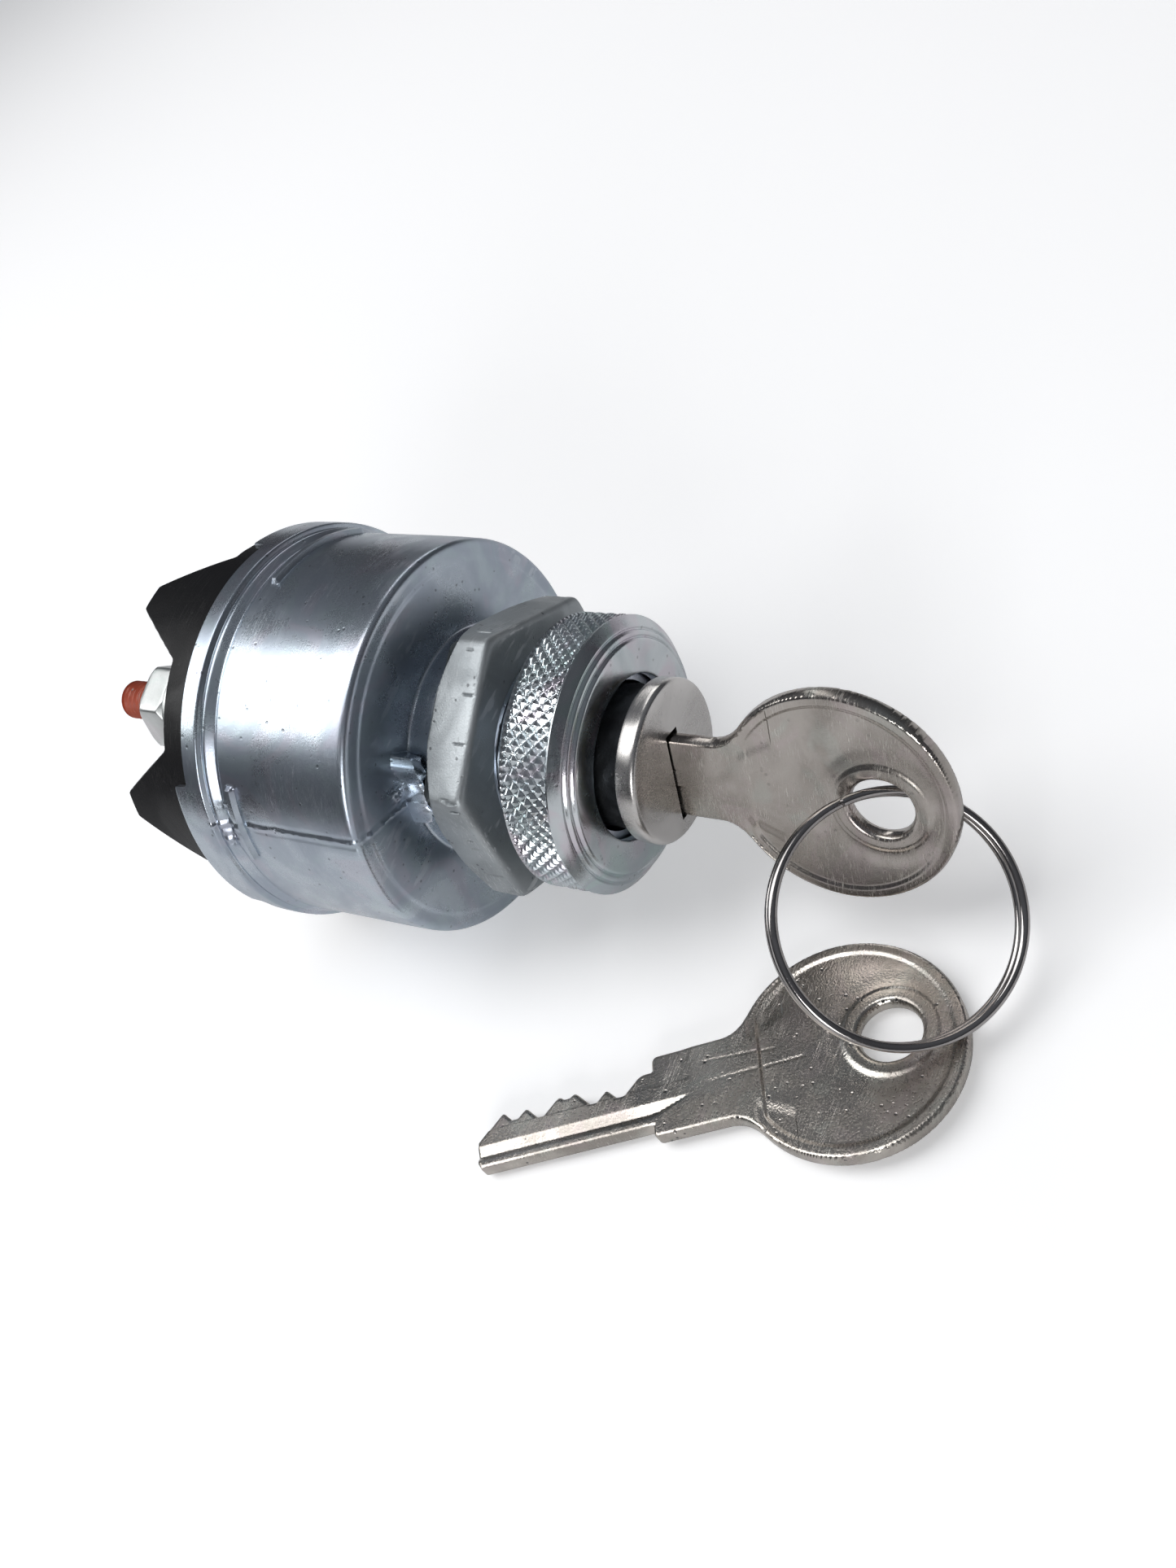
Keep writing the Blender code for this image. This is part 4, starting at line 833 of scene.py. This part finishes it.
def baseRelief(x, y, depth):
    b = base
    height = np.zeros_like(x)
    fromAxis = np.hypot(x, y)
    for angle in ridgeAngles:
        turn = math.radians(angle)
        outward = x * math.cos(turn) + y * math.sin(turn)
        across = np.abs(y * math.cos(turn) - x * math.sin(turn))
        slope = np.clip((b["foot"] - across) / (b["foot"] - b["land"]), 0, 1)
        height = np.maximum(height, b["ridge"] * slope * fade(outward, *b["ridgeEnd"]))
    height = height * fade(fromAxis, b["well"] - 0.4, b["well"] + 0.5)
    for angle in bayAngles:
        spotX, spotY = aroundCircle(angle)
        away = np.hypot(x - spotX, y - spotY)
        bay = b["seatHeight"] * (1 - fade(away, b["seat"] - 0.1, b["seat"] + 0.35))
        share = fade(away, b["bayRadius"] - 0.5, b["bayRadius"] + 0.3)
        height = height * share + bay * (1 - share)
    # moulded edges are slightly soft
    height = height - b["softEdge"] * np.clip(1 - depth / b["softEdge"], 0, 1) ** 2
    return b["floor"] + height


def makeBase():
    b = base
    half = b["meshHalf"]
    points, faces = reliefPlate(
        lambda x, y: np.hypot(x, y) - b["radius"], (-half, -half), (half, half), b["meshCell"],
        baseRelief, lambda x, y, depth: np.full_like(x, b["front"]))
    world = np.stack([points[:, 0], points[:, 2], points[:, 1]], 1)
    made = finishMesh("moulded_base", world, faces, [finish["blackPhenolic"]], 25)
    stand(made, switchBody, "black_phenolic", "terminal_base")


# The stud's head lies inside the base, and redFrom is where the battery stud's paint starts
terminal = {
    "stud": 2.45, "pitch": 0.8, "thread": 0.28, "end": 54.0, "headRadius": 4.2, "head": (29.7, 31.9),
    "threadStart": 40, "nut": (42.1, 46.4), "across": 9.9, "nutChamfer": 0.8, "nutTurn": 10,
    "washer": (40.9, 41.8), "washerRadius": 5.6, "redFrom": 48.3, "axisHole": 0.02}


def makeTerminal(number, angle):
    t = terminal
    centre = aroundCircle(angle)
    middle, tip, head = t["axisHole"], t["end"], t["headRadius"]
    headFront, headBack = t["head"]

    def studSkin(degrees, radius, station):
        onThread = (station > t["threadStart"]) & (station < tip - 0.8) & (radius > t["stud"] - 0.1)
        return threadCut(degrees, station, t["pitch"], t["thread"]) * onThread

    corners = [
        (middle, tip, 0, 1.0), (t["stud"] - 0.7, tip, 0.2, 0.3), (t["stud"], tip - 0.8, 0.1, 0.11),
        (t["stud"], t["threadStart"] + 0.5, 0, 2.0), (t["stud"], headBack, 0, 1.0),
        (head, headBack, 0.2, 1.0), (head, headFront, 0.4, 1.0), (middle, headFront, 0, 2.0)]
    materials = [finish["platedSteel"], finish["redPaint"]]
    stud = turnedPiece(f"stud_{number}", corners, 72, materials, studSkin, None, centre)
    if number == 1:
        for face in stud.data.polygons:
            if face.center.y > t["redFrom"] * mm:
                face.material_index = 1
    stand(stud, switchBody, "plated_steel", f"terminal_stud_{number}")

    low, high = t["nut"]
    flat = t["across"] / 2
    corners = [
        (t["stud"] + 0.05, low, 0, 0.5), (t["stud"] + 0.6, low, 0, 0.5), (flat - 0.1, low, 0.35, 0.4),
        (flat, low + 0.5, 0.3, 0.5), (flat, high - 0.5, 0.3, 0.4), (flat - 0.1, high, 0.35, 0.4),
        (t["stud"] + 0.6, high, 0.1, 0.3), (t["stud"] + 0.05, high - 0.5, 0, 1.0)]
    ends = [(low, t["nutChamfer"]), (high, t["nutChamfer"])]
    bend = hexagonWith(t["across"], t["stud"], angle + t["nutTurn"] * number, ends)
    nut = turnedPiece(f"nut_{number}", corners, 180, [finish["platedSteel"]], None, None, centre, bend)
    stand(nut, switchBody, "plated_steel", f"terminal_nut_{number}")

    low, high = t["washer"]
    corners = [
        (t["stud"] + 0.3, low, 0.1, 0.5), (t["washerRadius"], low, 0.25, 0.3),
        (t["washerRadius"], high, 0.3, 0.5), (t["stud"] + 0.3, high, 0.1, 0.3)]
    washer = turnedPiece(f"washer_{number}", corners, 96, [finish["platedSteel"]], None, None, centre)
    stand(washer, switchBody, "plated_steel", f"terminal_washer_{number}")


makeHousing()
makeHexNut()
makeBezel()
print("housing and nuts made")
makeShell()
makeCap()
makeKeys()
makeRing()
print("lock, keys and ring made")
makeBase()
for number, angle in enumerate(bayAngles):
    makeTerminal(number + 1, angle)
print("terminals made")

innerFinish = {
    "lock_plug": "turnedBrass", "plug_clip": "springSteel", "rotor": "brownPhenolic",
    "contact_plate": "turnedBrass", "contact_spring": "springSteel", "detent_ball": "springSteel",
    "detent_spring": "springSteel", "detent_ring": "springSteel", "return_spring": "springSteel",
    "base_gasket": "greyFibre"}
for number in range(1, 6):
    innerFinish[f"wafer_{number}"] = "turnedBrass"
    innerFinish[f"wafer_spring_{number}"] = "springSteel"
for node, name in innerFinish.items():
    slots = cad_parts[node].data.materials
    slots.clear()
    slots.append(finish[name])


# The table is whiter to the camera than in reflections, so that the bright metals keep their contrast
table = {
    "height": -26.0, "station": 33.0, "slope": 0.073, "half": 2500,
    "white": (0.97, 0.97, 0.975), "reflected": (0.66, 0.66, 0.67), "lift": 0.30, "glow": 0.16}


def makeTable():
    t = table
    data = bpy.data.meshes.new("table")
    points = []
    for x, y in ((-1, -1), (1, -1), (1, 1), (-1, 1)):
        station = y * t["half"]
        level = t["height"] + (t["station"] - station) * t["slope"]
        points.append(Vector((x * t["half"], station, level)) * mm)
    data.from_pydata(points, [], [(0, 1, 2, 3)])
    material = bpy.data.materials.new("whitePaper")
    material.use_nodes = True
    tree = material.node_tree
    shader = tree.nodes["Principled BSDF"]
    seen = addNode(tree, "ShaderNodeLightPath").outputs["Is Camera Ray"]
    tree.links.new(mixColour(tree, seen, t["reflected"], t["white"]), shader.inputs["Base Color"])
    # lift is emission seen by the camera; glow is emission for every other ray, painted light that brightens
    # the table's reflections in the metals and lights the parts
    lift = calculate(tree, "MULTIPLY_ADD", seen, t["lift"] - t["glow"], t["glow"])
    tree.links.new(lift, shader.inputs["Emission Strength"])
    shader.inputs["Emission Color"].default_value = (1, 1, 1, 1)
    shader.inputs["Roughness"].default_value = 0.9
    shader.inputs["Specular IOR Level"].default_value = 0.1
    data.materials.append(material)
    made = bpy.data.objects.new("table", data)
    bpy.context.scene.collection.objects.link(made)


lamps = {
    "overhead": {"at": (-180, 500, 800), "size": (560, 1150), "watts": 6.6},
    "side": {"at": (640, 300, 420), "size": (120, 700), "watts": 0.5},
    "window": {"at": (-620, -230, 250), "size": (240, 260), "watts": 1.6}}
lampAim = (0, 5, -5)
sky = {"low": (0.04, 0.04, 0.045, 1), "high": (0.17, 0.18, 0.20, 1), "highFrom": 0.8, "strength": 0.8}


def makeLamps():
    for name, lamp in lamps.items():
        data = bpy.data.lights.new(name, "AREA")
        data.shape = "RECTANGLE"
        data.size, data.size_y = (side * mm for side in lamp["size"])
        data.energy = lamp["watts"]
        made = bpy.data.objects.new(name, data)
        bpy.context.scene.collection.objects.link(made)
        made.location = Vector(lamp["at"]) * mm
        aim = Vector(lampAim) * mm - made.location
        made.rotation_euler = aim.to_track_quat("-Z", "Y").to_euler()
    world = bpy.data.worlds.new("studio")
    bpy.context.scene.world = world
    world.use_nodes = True
    tree = world.node_tree
    direction = addNode(tree, "ShaderNodeTexCoord").outputs["Generated"]
    apart = addNode(tree, "ShaderNodeSeparateXYZ")
    tree.links.new(direction, apart.inputs[0])
    ramp = addNode(tree, "ShaderNodeValToRGB")
    bottom, top = ramp.color_ramp.elements
    bottom.position, bottom.color = 0.0, sky["low"]
    top.position, top.color = sky["highFrom"], sky["high"]
    tree.links.new(apart.outputs["Z"], ramp.inputs["Fac"])
    tree.links.new(ramp.outputs["Color"], tree.nodes["Background"].inputs["Color"])
    tree.nodes["Background"].inputs["Strength"].default_value = sky["strength"]
    bpy.context.scene.view_settings.view_transform = "Standard"


view = {
    "at": (-66.10, -81.62, 104.64), "towards": (0.43265, 0.52384, -0.73376),
    "up": (0.81629, 0.11788, 0.56548), "lens": 38.42}


def makeCamera():
    data = bpy.data.cameras.new("camera")
    data.sensor_fit = "HORIZONTAL"
    data.lens = view["lens"]
    data.clip_start = 1 * mm
    data.clip_end = 20
    made = bpy.data.objects.new("camera", data)
    bpy.context.scene.collection.objects.link(made)
    back = -Vector(view["towards"]).normalized()
    right = Vector(view["up"]).cross(back).normalized()
    up = back.cross(right)
    turn = Matrix((right, up, back)).transposed().to_4x4()
    made.matrix_world = Matrix.Translation(Vector(view["at"]) * mm) @ turn
    bpy.context.scene.camera = made


makeTable()
makeLamps()
makeCamera()

print("table, light and camera ready")
